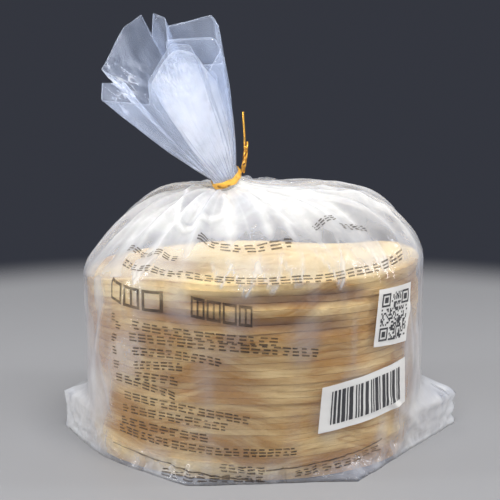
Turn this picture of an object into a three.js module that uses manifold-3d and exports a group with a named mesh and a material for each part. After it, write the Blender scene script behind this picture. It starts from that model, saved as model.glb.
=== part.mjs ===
// A stack of thirty six-inch corn tortillas in its clear film bag, gathered and tied at the top.
// The stack stands on its flat base, and its upper layers curl up at the front and the right. The bag
// fits it like a sleeve, closes over it in a pleated tent, passes through the twist tie as a narrow
// neck, and opens above the tie into a ruffle of flat panels that fan out from the neck.
// The sealed lower corners of the bag stick out at the left and right as two small ears, and its foot
// is drawn out to four low corners between them.
// Millimetres, +Z up. The origin is the centre of the stack's base, +X the right ear, -Y the front.

import * as THREE from "three";
import { mergeVertices } from "three/addons/utils/BufferGeometryUtils.js";
import Module from "manifold-3d";

const TAU = Math.PI * 2;
const radians = THREE.MathUtils.degToRad;
const lerp = THREE.MathUtils.lerp;
const clamp01 = (x) => THREE.MathUtils.clamp(x, 0, 1);
const smooth = (low, high, x) => THREE.MathUtils.smoothstep(x, low, high);

// --- Driving dimensions -------------------------------------------------------------------------

const TORTILLA_RADIUS = 76;
const TORTILLA_COUNT = 30;
const TORTILLA_PITCH = 2.53;
const STACK_HEIGHT = TORTILLA_COUNT * TORTILLA_PITCH;

const LAYER_GROOVE = 0.8; // depth of the groove between two rims
const LAYER_UNEVEN = 0.6; // how far a rim may lie back from the widest
const STACK_AROUND = 36; // facets round the stack
const CURL = {
  // how far the top layer bends up, over how many layers that fades, and where: it is level on the far
  // side of this azimuth and inside this share of the radius
  rise: 7.5,
  layers: 6,
  towards: radians(-50),
  level: -0.5,
  full: 0.4,
  inside: 0.2,
};
const CURL_RINGS = [0.3, 0.55, 0.8]; // where the top face bends, as shares of its radius

const FILM_EASE = 2; // how far the bag stands off the stack
const SLEEVE_WALL = 1; // thickness of the bag round the stack
const SLEEVE_GAP = 0.4; // gap between the bag and the stack
const FOOT_SPREAD = 1; // how much wider the film lies where it meets the table
const FOOT_HEIGHT = 6; // height over which that spread is taken up
const SLACK = [
  // slow waves of the loose wall: how many go round, how deep, where they start, how fast they turn
  { waves: 3, depth: 0.7, start: 0.6, rise: 40 },
  { waves: 7, depth: 0.5, start: 1.9, rise: -25 },
];

// Corners drawn out of the round wall: how far each sticks out at some heights, level below the first.
// Seen from above, the film runs straight from a corner until it touches the round wall.
const CORNERS = [
  { azimuth: radians(3.75), reach: [[0, 16.5], [15.5, 17.5], [24, 0]] }, // the right ear
  { azimuth: radians(180), reach: [[0, 10], [18, 11.5], [21, 0]] }, // the left ear
  { azimuth: radians(-60), reach: [[0, 8.5], [3, 4], [9, 0]] },
  { azimuth: radians(-108.75), reach: [[0, 5.5], [3, 2.5], [9, 0]] },
  { azimuth: radians(63.75), reach: [[0, 7], [3, 3], [9, 0]] },
  { azimuth: radians(116.25), reach: [[0, 7], [3, 3], [9, 0]] },
];
const FOOT_LEVELS = [1.2, 3, 6, 9, 15.5, 18, 21, 24]; // heights at which the corners turn

const NECK_RADIUS = 6.2;
const NECK_CENTRE = new THREE.Vector3(-12, 0, 118); // middle of the tie
const NECK_LENGTH = 6.4;
const TUFT_LEAN_LEFT = radians(27);
const TUFT_LEAN_FORWARD = radians(22);

const SHOULDER_LOW = STACK_HEIGHT; // where the wall turns in, on the left
const SHOULDER_HIGH = STACK_HEIGHT + 13; // the same on the right, where the bag is blown out
const SHOULDER_BACK = 0.3; // share of that rise at the back
const SHOULDER_CLEAR = 2.2; // the least height that it keeps above the stack's rim
const TENT_HEIGHT = 113; // the nearly level film round the neck
const TENT_FULLNESS = { left: 2.9, right: 5.2, front: 1.5 }; // 1 is a straight slope, more is rounder
const THROAT = 9; // how suddenly the tent turns up into the neck
const PLEATS = 18;
const PLEAT_DEPTH = 1.9;

const TIE_WIDTH = 3.2;
const TIE_THICKNESS = 0.8;
const TIE_GAP = 0.45;
const TIE_TAIL = 28;
const TIE_STUB = 14.5; // the shorter end
const TIE_TWIST = { length: 13, turns: 1.5 }; // the two ends are wound together over this length
const TIE_ENDS = { azimuth: radians(-14), outward: 1.8, phase: 0.2, apart: 0.62 };

const AROUND = 96; // facets round the bag

// Corners of the ruffle's mouth, measured from the middle of the tie: across to the right, to the
// back and along the ruffle's axis. The film is a flat panel between each two of them.
const MOUTH_CORNERS = [
  { across: 28, back: 8, lift: 65 },
  { across: 25, back: 16, lift: 68 },
  { across: 3, back: 26, lift: 68 },
  { across: 0, back: 27, lift: 76 },
  { across: -4, back: 23, lift: 79 },
  { across: -12, back: 17, lift: 79 },
  { across: -27, back: 4, lift: 70 },
  { across: -18, back: -3, lift: 62 },
  { across: -26, back: -9, lift: 69 },
  { across: -28, back: -15, lift: 64 },
  { across: -11, back: -14, lift: 53 },
  { across: -4, back: -22, lift: 66 },
  { across: 13, back: -24, lift: 78 },
  { across: 19, back: -21, lift: 73 },
  { across: 17, back: -12, lift: 54 },
  { across: 26, back: -3, lift: 59 },
];
const PANEL_BOW = 1.6; // how far the panels bulge half way up
const MOUTH_WALL = 1.6; // thickness of the ruffle's edge
const MOUTH_DEPTH = 15;
const MOUTH_FLOOR = [
  // the gathered film inside the mouth, from its wall to its middle
  { share: 0.9, lift: 58 },
  { share: 0.6, lift: 62 },
  { share: 0.3, lift: 65 },
];
const MOUTH_MIDDLE = 66;

// --- The bag ------------------------------------------------------------------------------------

const tuftAxis = new THREE.Vector3(
  -Math.tan(TUFT_LEAN_LEFT),
  -Math.tan(TUFT_LEAN_FORWARD),
  1,
).normalize();
const tuftRight = new THREE.Vector3(1, 0, 0)
  .addScaledVector(tuftAxis, -tuftAxis.x)
  .normalize();
const tuftBack = new THREE.Vector3().crossVectors(tuftAxis, tuftRight);

/** Shortest turn from one azimuth to another, in -PI to PI. */
const turn = (from, to) => Math.atan2(Math.sin(to - from), Math.cos(to - from));

/** The value at z on straight lines between [z, value] points, level past both ends. */
function valueAt(points, z) {
  const next = points.findIndex(([height]) => height > z);
  if (next <= 0) return points.at(next)[1];
  const [[z0, start], [z1, end]] = points.slice(next - 1, next + 1);
  return lerp(start, end, (z - z0) / (z1 - z0));
}

/** How far the drawn-out corners push the wall out at this azimuth and height. */
function cornerBulge(azimuth, z) {
  const round = TORTILLA_RADIUS + FILM_EASE;
  const bulges = CORNERS.map(({ azimuth: tip, reach }) => {
    const touch = Math.acos(round / (round + valueAt(reach, z)));
    return round / Math.cos(Math.max(0, touch - Math.abs(turn(tip, azimuth)))) - round;
  });
  return Math.max(...bulges);
}

/** Radius that the stack gives the loose wall of the bag, without the spread foot and the ears. */
function sleeveRadius(azimuth, z) {
  return SLACK.reduce(
    (sum, { waves, depth, start, rise }) => sum + depth * Math.sin(waves * azimuth + start + z / rise),
    TORTILLA_RADIUS + FILM_EASE,
  );
}

/** Radius of the bag's wall. */
function wallRadius(azimuth, z) {
  const foot = FOOT_SPREAD * Math.pow(clamp01(1 - z / FOOT_HEIGHT), 2);
  return sleeveRadius(azimuth, z) + foot + cornerBulge(azimuth, z);
}

/** How far a layer bends up at a place: under is how many layers lie on it, share is 1 at its rim. */
function curlAt(azimuth, share, under) {
  const part = clamp01(1 - under / CURL.layers) * Math.pow(smooth(CURL.inside, 1.05, share), 1.3);
  return CURL.rise * part * smooth(CURL.level, CURL.full, Math.cos(azimuth - CURL.towards));
}

/** Height at which the wall turns in towards the neck. */
function shoulderHeight(azimuth) {
  const right = (1 + Math.cos(azimuth)) / 2;
  const back = (1 + Math.sin(azimuth)) / 2;
  const lift = clamp01(right * right + SHOULDER_BACK * back * (1 - right));
  const rim = STACK_HEIGHT + curlAt(azimuth, 1, 0);
  return Math.max(lerp(SHOULDER_LOW, SHOULDER_HIGH, lift), rim + SHOULDER_CLEAR);
}

/** A point on a ring about the ruffle's axis, lifted along that axis from the middle of the tie. */
function ringPoint(azimuth, radius, lift) {
  return NECK_CENTRE.clone()
    .addScaledVector(tuftAxis, lift)
    .addScaledVector(tuftRight, radius * Math.cos(azimuth))
    .addScaledVector(tuftBack, radius * Math.sin(azimuth));
}

/** Pleat relief, from -1 in a fold to 1 on a ridge, with ridges sharper than folds. */
function pleat(azimuth) {
  const wander = azimuth + 0.13 * Math.sin(3 * azimuth + 1) + 0.06 * Math.sin(7 * azimuth + 2.1);
  const wave = 0.5 + 0.5 * Math.cos(PLEATS * wander);
  return 2 * Math.pow(wave, 1.4) - 0.85;
}

/** A point on the tent between wall and neck: along is 0 at the wall and 1 at the neck. */
function shoulderPoint(azimuth, along) {
  const low = shoulderHeight(azimuth);
  const from = new THREE.Vector3(Math.cos(azimuth), Math.sin(azimuth), 0)
    .multiplyScalar(wallRadius(azimuth, low))
    .setZ(low);
  const to = ringPoint(azimuth, NECK_RADIUS, -NECK_LENGTH / 2);
  const right = (1 + Math.cos(azimuth)) / 2;
  const front = (1 - Math.sin(azimuth)) / 2;
  const { left, right: rightFullness, front: frontFullness } = TENT_FULLNESS;
  const fullness = lerp(lerp(left, frontFullness, front * front), rightFullness, right * right);
  const rise = 1 - Math.pow(1 - along, fullness);
  const point = from.clone().lerp(to, along);
  const throat = (to.z - TENT_HEIGHT) * Math.pow(along, THROAT);
  const relief = PLEAT_DEPTH * Math.sin(Math.PI * Math.pow(along, 0.8)) * pleat(azimuth);
  point.z = lerp(from.z, TENT_HEIGHT, rise) + throat + relief;
  return point;
}

/** A point on the mouth's edge, on the straight line between the corners either side of it. */
function mouthPoint(azimuth) {
  const azimuths = MOUTH_CORNERS.map(({ across, back }) => Math.atan2(back, across));
  const past = (angle) => THREE.MathUtils.euclideanModulo(angle - azimuths[0], TAU);
  const index = azimuths.findLastIndex((corner) => past(corner) <= past(azimuth) + 1e-9);
  const next = (index + 1) % MOUTH_CORNERS.length;
  const gap = THREE.MathUtils.euclideanModulo(azimuths[next] - azimuths[index], TAU);
  const share = (past(azimuth) - past(azimuths[index])) / gap;
  const [from, to] = [MOUTH_CORNERS[index], MOUTH_CORNERS[next]].map(({ across, back, lift }) =>
    NECK_CENTRE.clone()
      .addScaledVector(tuftRight, across)
      .addScaledVector(tuftBack, back)
      .addScaledVector(tuftAxis, lift),
  );
  return from.lerp(to, share);
}

/** A point on the ruffle: along is 0 at the top of the neck and 1 at the mouth. */
function rufflePoint(azimuth, along, inset = 0) {
  const out = ringPoint(azimuth, 1, 0).sub(NECK_CENTRE);
  const bow = PANEL_BOW * Math.sin(Math.PI * Math.pow(along, 0.8));
  return ringPoint(azimuth, NECK_RADIUS, NECK_LENGTH / 2)
    .lerp(mouthPoint(azimuth), along)
    .addScaledVector(out, bow - inset);
}

/** A point of the gathered film inside the mouth: share is 1 at the mouth's wall and 0 in its middle. */
function floorPoint(azimuth, { share, lift }) {
  const reach = mouthPoint(azimuth).distanceTo(ringPoint(azimuth, NECK_RADIUS, NECK_LENGTH / 2));
  const edge = rufflePoint(azimuth, 1 - MOUTH_DEPTH / reach, MOUTH_WALL);
  const middle = ringPoint(0, 0, lift);
  const out = edge.clone().sub(middle);
  const along = out.dot(tuftAxis);
  return middle
    .addScaledVector(out.addScaledVector(tuftAxis, -along), share)
    .addScaledVector(tuftAxis, along * share * share);
}

/** Radius of the sleeve that the bag leaves for the stack. */
function pocketRadius(azimuth, z) {
  return sleeveRadius(azimuth, z) - SLEEVE_WALL;
}

/** A row of points at one height whose radius a function gives. */
const level = (radius, z) => (azimuth) =>
  new THREE.Vector3(Math.cos(azimuth), Math.sin(azimuth), 0)
    .multiplyScalar(radius(azimuth))
    .setZ(z);

/** Every row of the bag's surface: up the sleeve's inside from its top, then outside to the mouth. */
function bagRows() {
  const rows = [];
  const ceiling = STACK_HEIGHT + SLEEVE_GAP;
  for (const share of [...CURL_RINGS, 1])
    rows.push((azimuth) =>
      level((a) => pocketRadius(a, STACK_HEIGHT) * share, ceiling + curlAt(azimuth, share, 0))(azimuth),
    );
  const pocketSteps = 4;
  for (let i = pocketSteps - 1; i >= 0; i--) {
    const z = (STACK_HEIGHT * i) / pocketSteps;
    rows.push(level((azimuth) => pocketRadius(azimuth, z), z));
  }
  for (const z of FOOT_LEVELS) rows.push(level((azimuth) => wallRadius(azimuth, z), z));
  const wallSteps = 3;
  for (let i = 1; i <= wallSteps; i++)
    rows.push((azimuth) => {
      const z = lerp(FOOT_LEVELS.at(-1), shoulderHeight(azimuth), i / (wallSteps + 1));
      return level((a) => wallRadius(a, z), z)(azimuth);
    });
  const shoulderSteps = 12;
  for (let i = 0; i <= shoulderSteps; i++)
    rows.push((azimuth) => shoulderPoint(azimuth, Math.pow(i / shoulderSteps, 0.85)));
  rows.push((azimuth) => ringPoint(azimuth, NECK_RADIUS, 0));
  const ruffleSteps = 4;
  for (let i = 0; i <= ruffleSteps; i++)
    rows.push((azimuth) => rufflePoint(azimuth, i / ruffleSteps));
  for (const along of [1, 0.91])
    rows.push((azimuth) => rufflePoint(azimuth, along, MOUTH_WALL));
  for (const tier of MOUTH_FLOOR) rows.push((azimuth) => floorPoint(azimuth, tier));
  return rows;
}

/** A closed mesh from rings of points, with a point at either end of the axis. */
function closedRings(rings, first, last) {
  const positions = [first, ...rings.flat(), last].flatMap((p) => p.toArray());
  const count = rings[0].length;
  const at = (row, i) => 1 + row * count + (i % count);
  const end = 1 + rings.length * count;
  const index = [];
  for (let i = 0; i < count; i++) index.push(0, at(0, i + 1), at(0, i));
  for (let row = 0; row + 1 < rings.length; row++)
    for (let i = 0; i < count; i++) {
      index.push(at(row, i), at(row, i + 1), at(row + 1, i + 1));
      index.push(at(row, i), at(row + 1, i + 1), at(row + 1, i));
    }
  for (let i = 0; i < count; i++)
    index.push(at(rings.length - 1, i), at(rings.length - 1, i + 1), end);
  const geometry = new THREE.BufferGeometry();
  geometry.setAttribute("position", new THREE.Float32BufferAttribute(positions, 3));
  geometry.setIndex(index);
  geometry.computeVertexNormals();
  return geometry;
}

/** The rows' points all the way round. */
function ringsOf(rows, around) {
  const azimuths = Array.from({ length: around }, (_, i) => (TAU * i) / around);
  return rows.map((row) => azimuths.map((azimuth) => row(azimuth)));
}

function makeBag() {
  const top = new THREE.Vector3(0, 0, STACK_HEIGHT + SLEEVE_GAP);
  const geometry = closedRings(ringsOf(bagRows(), AROUND), top, ringPoint(0, 0, MOUTH_MIDDLE));
  const film = new THREE.MeshStandardMaterial({ color: 0xe6cf9a, roughness: 0.3, metalness: 0 });
  return named("bag", geometry, film);
}

// --- The tortillas ------------------------------------------------------------------------------

/** How far a layer's rim lies back from the widest, the same each time for the same layer. */
function rimSetback(layer, azimuth) {
  const wave = Math.sin(2 * azimuth + 2.4 * layer) + Math.sin(3 * azimuth - 1.7 * layer);
  return LAYER_UNEVEN * (0.5 + 0.25 * wave);
}

/** Every row of the stack: a rim for each layer, and a groove between each two. */
function stackRows() {
  const rim = (layer, height, setback) => (azimuth) => {
    const radius = pocketRadius(azimuth, height) - SLEEVE_GAP - setback(azimuth);
    const z = height + curlAt(azimuth, 1, TORTILLA_COUNT - height / TORTILLA_PITCH);
    return level(() => radius, z)(azimuth);
  };
  const rows = [];
  for (let layer = 0; layer < TORTILLA_COUNT; layer++) {
    const foot = layer * TORTILLA_PITCH;
    rows.push(rim(layer, foot, () => LAYER_GROOVE));
    rows.push(rim(layer, foot + TORTILLA_PITCH / 2, (azimuth) => rimSetback(layer, azimuth)));
  }
  rows.push(rim(TORTILLA_COUNT, STACK_HEIGHT, () => LAYER_GROOVE));
  for (const share of CURL_RINGS.toReversed())
    rows.push((azimuth) => {
      const radius = pocketRadius(azimuth, STACK_HEIGHT) * share;
      return level(() => radius, STACK_HEIGHT + curlAt(azimuth, share, 0))(azimuth);
    });
  return rows;
}

function makeTortillas() {
  const foot = new THREE.Vector3(0, 0, 0);
  const top = new THREE.Vector3(0, 0, STACK_HEIGHT);
  const geometry = closedRings(ringsOf(stackRows(), STACK_AROUND), foot, top);
  const dough = new THREE.MeshStandardMaterial({ color: 0xe0b45a, roughness: 0.8, metalness: 0 });
  return named("tortillas", geometry, dough);
}

// --- The twist tie ------------------------------------------------------------------------------

/** A ribbon of rectangular section through frames of centre, width direction and thickness direction. */
function ribbon(frames, width, thickness, closed) {
  const corners = [
    [0.5, 0.5],
    [-0.5, 0.5],
    [-0.5, -0.5],
    [0.5, -0.5],
  ];
  const positions = frames.flatMap(({ centre, wide, thin }) =>
    corners.flatMap(([a, b]) =>
      centre
        .clone()
        .addScaledVector(wide, a * width)
        .addScaledVector(thin, b * thickness)
        .toArray(),
    ),
  );
  const index = [];
  const last = closed ? frames.length : frames.length - 1;
  const at = (frame, corner) => (frame % frames.length) * 4 + (corner % 4);
  for (let f = 0; f < last; f++)
    for (let c = 0; c < 4; c++) {
      index.push(at(f, c), at(f, c + 1), at(f + 1, c + 1));
      index.push(at(f, c), at(f + 1, c + 1), at(f + 1, c));
    }
  if (!closed) {
    const f = frames.length - 1;
    index.push(at(0, 0), at(0, 2), at(0, 1), at(0, 0), at(0, 3), at(0, 2));
    index.push(at(f, 0), at(f, 1), at(f, 2), at(f, 0), at(f, 2), at(f, 3));
  }
  const geometry = new THREE.BufferGeometry();
  geometry.setAttribute("position", new THREE.Float32BufferAttribute(positions, 3));
  geometry.setIndex(index);
  return geometry;
}

/** The band round the neck. */
function tieBand() {
  const steps = 48;
  const radius = NECK_RADIUS + TIE_GAP + TIE_THICKNESS / 2;
  const frames = Array.from({ length: steps }, (_, i) => {
    const azimuth = (TAU * i) / steps;
    const out = ringPoint(azimuth, 1, 0).sub(NECK_CENTRE);
    return { centre: ringPoint(azimuth, radius, 0), wide: tuftAxis, thin: out };
  });
  return ribbon(frames, TIE_WIDTH, TIE_THICKNESS, true);
}

/** One end of the tie: it leaves the band, winds round the other end, and stands up. */
function tieEnd(phase, length, width) {
  const steps = Math.ceil(length * 1.4);
  const foot = ringPoint(TIE_ENDS.azimuth, NECK_RADIUS + TIE_GAP + TIE_ENDS.outward, 0);
  const top = new THREE.Vector3(foot.x + 1.6, foot.y - 3.4, foot.z + TIE_TAIL);
  const up = top.clone().sub(foot).normalize();
  const side = new THREE.Vector3(1, 0, 0).addScaledVector(up, -up.x).normalize();
  const depth = new THREE.Vector3().crossVectors(up, side);
  const frames = Array.from({ length: steps + 1 }, (_, i) => {
    const travel = (length * i) / steps;
    const wind = phase + TAU * TIE_TWIST.turns * Math.min(travel / TIE_TWIST.length, 1);
    const out = side.clone().multiplyScalar(Math.cos(wind)).addScaledVector(depth, Math.sin(wind));
    const across = side.clone().multiplyScalar(Math.sin(wind)).addScaledVector(depth, -Math.cos(wind));
    const apart = TIE_ENDS.apart * lerp(1, 0.3, smooth(TIE_TWIST.length - 2, TIE_TWIST.length + 2, travel));
    const centre = foot
      .clone()
      .addScaledVector(up, travel - 0.6)
      .addScaledVector(side, 0.9 * Math.sin(travel / 7))
      .addScaledVector(out, apart);
    return { centre, wide: across, thin: out };
  });
  return ribbon(frames, width, TIE_THICKNESS * 0.8, false);
}

/** Joins closed meshes into one. */
function joined(wasm, geometries) {
  const solids = geometries.map((geometry) => {
    const bare = geometry.clone();
    bare.deleteAttribute("normal");
    bare.deleteAttribute("uv");
    const merged = mergeVertices(bare);
    return new wasm.Manifold(
      new wasm.Mesh({
        numProp: 3,
        vertProperties: new Float32Array(merged.attributes.position.array),
        triVerts: new Uint32Array(merged.index.array),
      }),
    );
  });
  const mesh = solids.reduce((whole, solid) => whole.add(solid)).getMesh();
  const geometry = new THREE.BufferGeometry();
  geometry.setAttribute("position", new THREE.BufferAttribute(mesh.vertProperties, 3));
  geometry.setIndex(new THREE.BufferAttribute(mesh.triVerts, 1));
  geometry.computeVertexNormals();
  return geometry;
}

function makeTwistTie(wasm) {
  const geometry = joined(wasm, [
    tieBand(),
    tieEnd(TIE_ENDS.phase, TIE_TAIL, 2.3),
    tieEnd(TIE_ENDS.phase + 0.94 * Math.PI, TIE_STUB, 2.1),
  ]);
  const foil = new THREE.MeshStandardMaterial({ color: 0xd98a1e, roughness: 0.35, metalness: 0.3 });
  return named("twist_tie", geometry, foil);
}

// --- The whole ----------------------------------------------------------------------------------

function named(name, geometry, material) {
  const mesh = new THREE.Mesh(geometry, material);
  mesh.name = name;
  return mesh;
}

const wasm = await Module();
wasm.setup();

const tortillaStackInBag = new THREE.Group();
tortillaStackInBag.add(makeTortillas(), makeBag(), makeTwistTie(wasm));

export default tortillaStackInBag;
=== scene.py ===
"""A clear film bag of round corn tortillas with its twist tie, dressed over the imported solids.

Sizes inside the classes are in millimetres and angles in degrees; meshes are made in metres.
Azimuth 0 is the bag's right side, 90 degrees its back and 270 degrees its front.
"""

import logging
import math
import random
from dataclasses import dataclass, field
from enum import Enum
from typing import Callable, Iterable, TypeVar

import bpy
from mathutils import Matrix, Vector, noise


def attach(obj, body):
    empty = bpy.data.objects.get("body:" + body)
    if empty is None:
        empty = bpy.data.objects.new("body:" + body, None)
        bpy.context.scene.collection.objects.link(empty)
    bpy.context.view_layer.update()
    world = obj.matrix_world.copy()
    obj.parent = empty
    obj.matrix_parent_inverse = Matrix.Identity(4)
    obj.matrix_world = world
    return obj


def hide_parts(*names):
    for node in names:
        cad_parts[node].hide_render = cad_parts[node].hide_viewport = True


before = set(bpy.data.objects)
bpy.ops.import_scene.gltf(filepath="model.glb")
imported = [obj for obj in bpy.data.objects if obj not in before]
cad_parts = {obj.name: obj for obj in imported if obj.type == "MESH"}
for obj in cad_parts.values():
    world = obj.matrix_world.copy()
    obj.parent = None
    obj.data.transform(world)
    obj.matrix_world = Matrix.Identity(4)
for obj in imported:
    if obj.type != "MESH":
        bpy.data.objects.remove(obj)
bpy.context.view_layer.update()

BODY = "root"
MM = 0.001
TAU = 2 * math.pi
ROUNDING_STEPS = (-1, -0.5, 0, 0.5, 1)

log = logging.getLogger("tortilla_bag")

Place = Callable[[float, float], Vector]
Shade = Callable[[float, float], float]
Colour = tuple[float, float, float, float]
Item = TypeVar("Item")


class Slot(Enum):
    """The record's material slots."""

    FILM = "bag_film"
    TORTILLA = "tortilla"
    INK = "bag_ink"
    PANEL = "label_white"
    TIE = "tie_ribbon"


class Node(Enum):
    """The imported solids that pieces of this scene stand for."""

    BAG = "bag"
    TORTILLAS = "tortillas"
    TIE = "twist_tie"


class Zone(Enum):
    """Where on the bag a line of print lies."""

    WALL = "wall"
    TENT = "tent"


class Mark(Enum):
    """What a line of print is made of: small bars, open frames or one plain rule."""

    BARS = "bars"
    FRAMES = "frames"
    RULE = "rule"


# --- Numbers ------------------------------------------------------------------------------------


def lerp(start: float, end: float, share: float) -> float:
    """Return the value a share of the way from start to end."""
    return start + (end - start) * share


def clamp01(value: float) -> float:
    """Return the value held between 0 and 1."""
    return min(max(value, 0.0), 1.0)


def smooth(low: float, high: float, value: float) -> float:
    """Return 0 below low, 1 above high and an S curve between them."""
    share = clamp01((value - low) / (high - low))
    return share * share * (3 - 2 * share)


def turn(start: float, end: float) -> float:
    """Return the shortest turn between two azimuths, in radians."""
    return math.atan2(math.sin(end - start), math.cos(end - start))


def bell(distance: float, width: float) -> float:
    """Return a smooth hump that is 1 at no distance and falls off over the width."""
    return math.exp(-((distance / width) ** 2))


def rumple(x: float, y: float, z: float, seed: float = 0.0) -> float:
    """Return smooth noise from about -1 to 1."""
    return noise.noise(Vector((x + seed, y - 1.7 * seed, z + 2.3 * seed)))


def swirl(azimuth: float, count: float, z: float, seed: float = 0.0) -> float:
    """Return smooth noise round an axis, which is finer the larger the count is."""
    return rumple(count * math.cos(azimuth), count * math.sin(azimuth), z, seed)


def crumple(x: float, y: float, z: float, seed: float = 0.0) -> float:
    """Return noise from about -1 to 1 with sharp ridges, as creased film has."""
    first = 1 - 2 * abs(rumple(x, y, z, seed))
    second = 1 - 2 * abs(rumple(2.1 * x, 2.1 * y, 2.1 * z, seed + 7))
    return first + 0.5 * second - 0.9


def nearest(start: Vector, end: Vector, here: Vector) -> tuple[float, float]:
    """Return where on a straight line a point is nearest, from 0 to 1, and how far off it is."""
    span = end - start
    share = clamp01((here - start).dot(span) / span.length_squared)
    return share, (here - start.lerp(end, share)).length


def mid_share(share: float, slope: float, least: float) -> float:
    """Return 1 along the middle of a line, falling to the least value at both of its ends."""
    return min(1.0, slope * share + least, slope * (1 - share) + least)


def table(kind: Callable[..., Item], *rows: tuple) -> tuple[Item, ...]:
    """Return an item of a kind for each row of its values."""
    return tuple(kind(*row) for row in rows)


# --- The bag's form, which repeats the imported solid's ---------------------------------------------


@dataclass(frozen=True)
class FootCorner:
    """A corner drawn out of the bag's foot: its azimuth, and its reach at some heights."""

    azimuth: float
    reach: tuple[tuple[float, float], ...]

    def at(self, height: float) -> float:
        """Return its reach at a height, on straight lines between the given ones."""
        low = self.reach[0]
        for high in self.reach[1:]:
            if height < high[0]:
                return lerp(low[1], high[1], clamp01((height - low[0]) / (high[0] - low[0])))
            low = high
        return low[1]


@dataclass(frozen=True)
class Crease:
    """A fold line in the wall from one (azimuth, height) to another, with its relief and width."""

    start: tuple[float, float]
    end: tuple[float, float]
    relief: float
    width: float


@dataclass(frozen=True)
class Fold:
    """A fold in the tent between two places seen from above, with its relief, width and milk."""

    start: tuple[float, float]
    end: tuple[float, float]
    relief: float
    width: float
    milk: float


@dataclass(frozen=True)
class PleatTip:
    """The pointed lower end of a pleat at the shoulder: its azimuth, its drop below the shoulder
    and its length."""

    azimuth: float
    drop: float
    length: float


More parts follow.
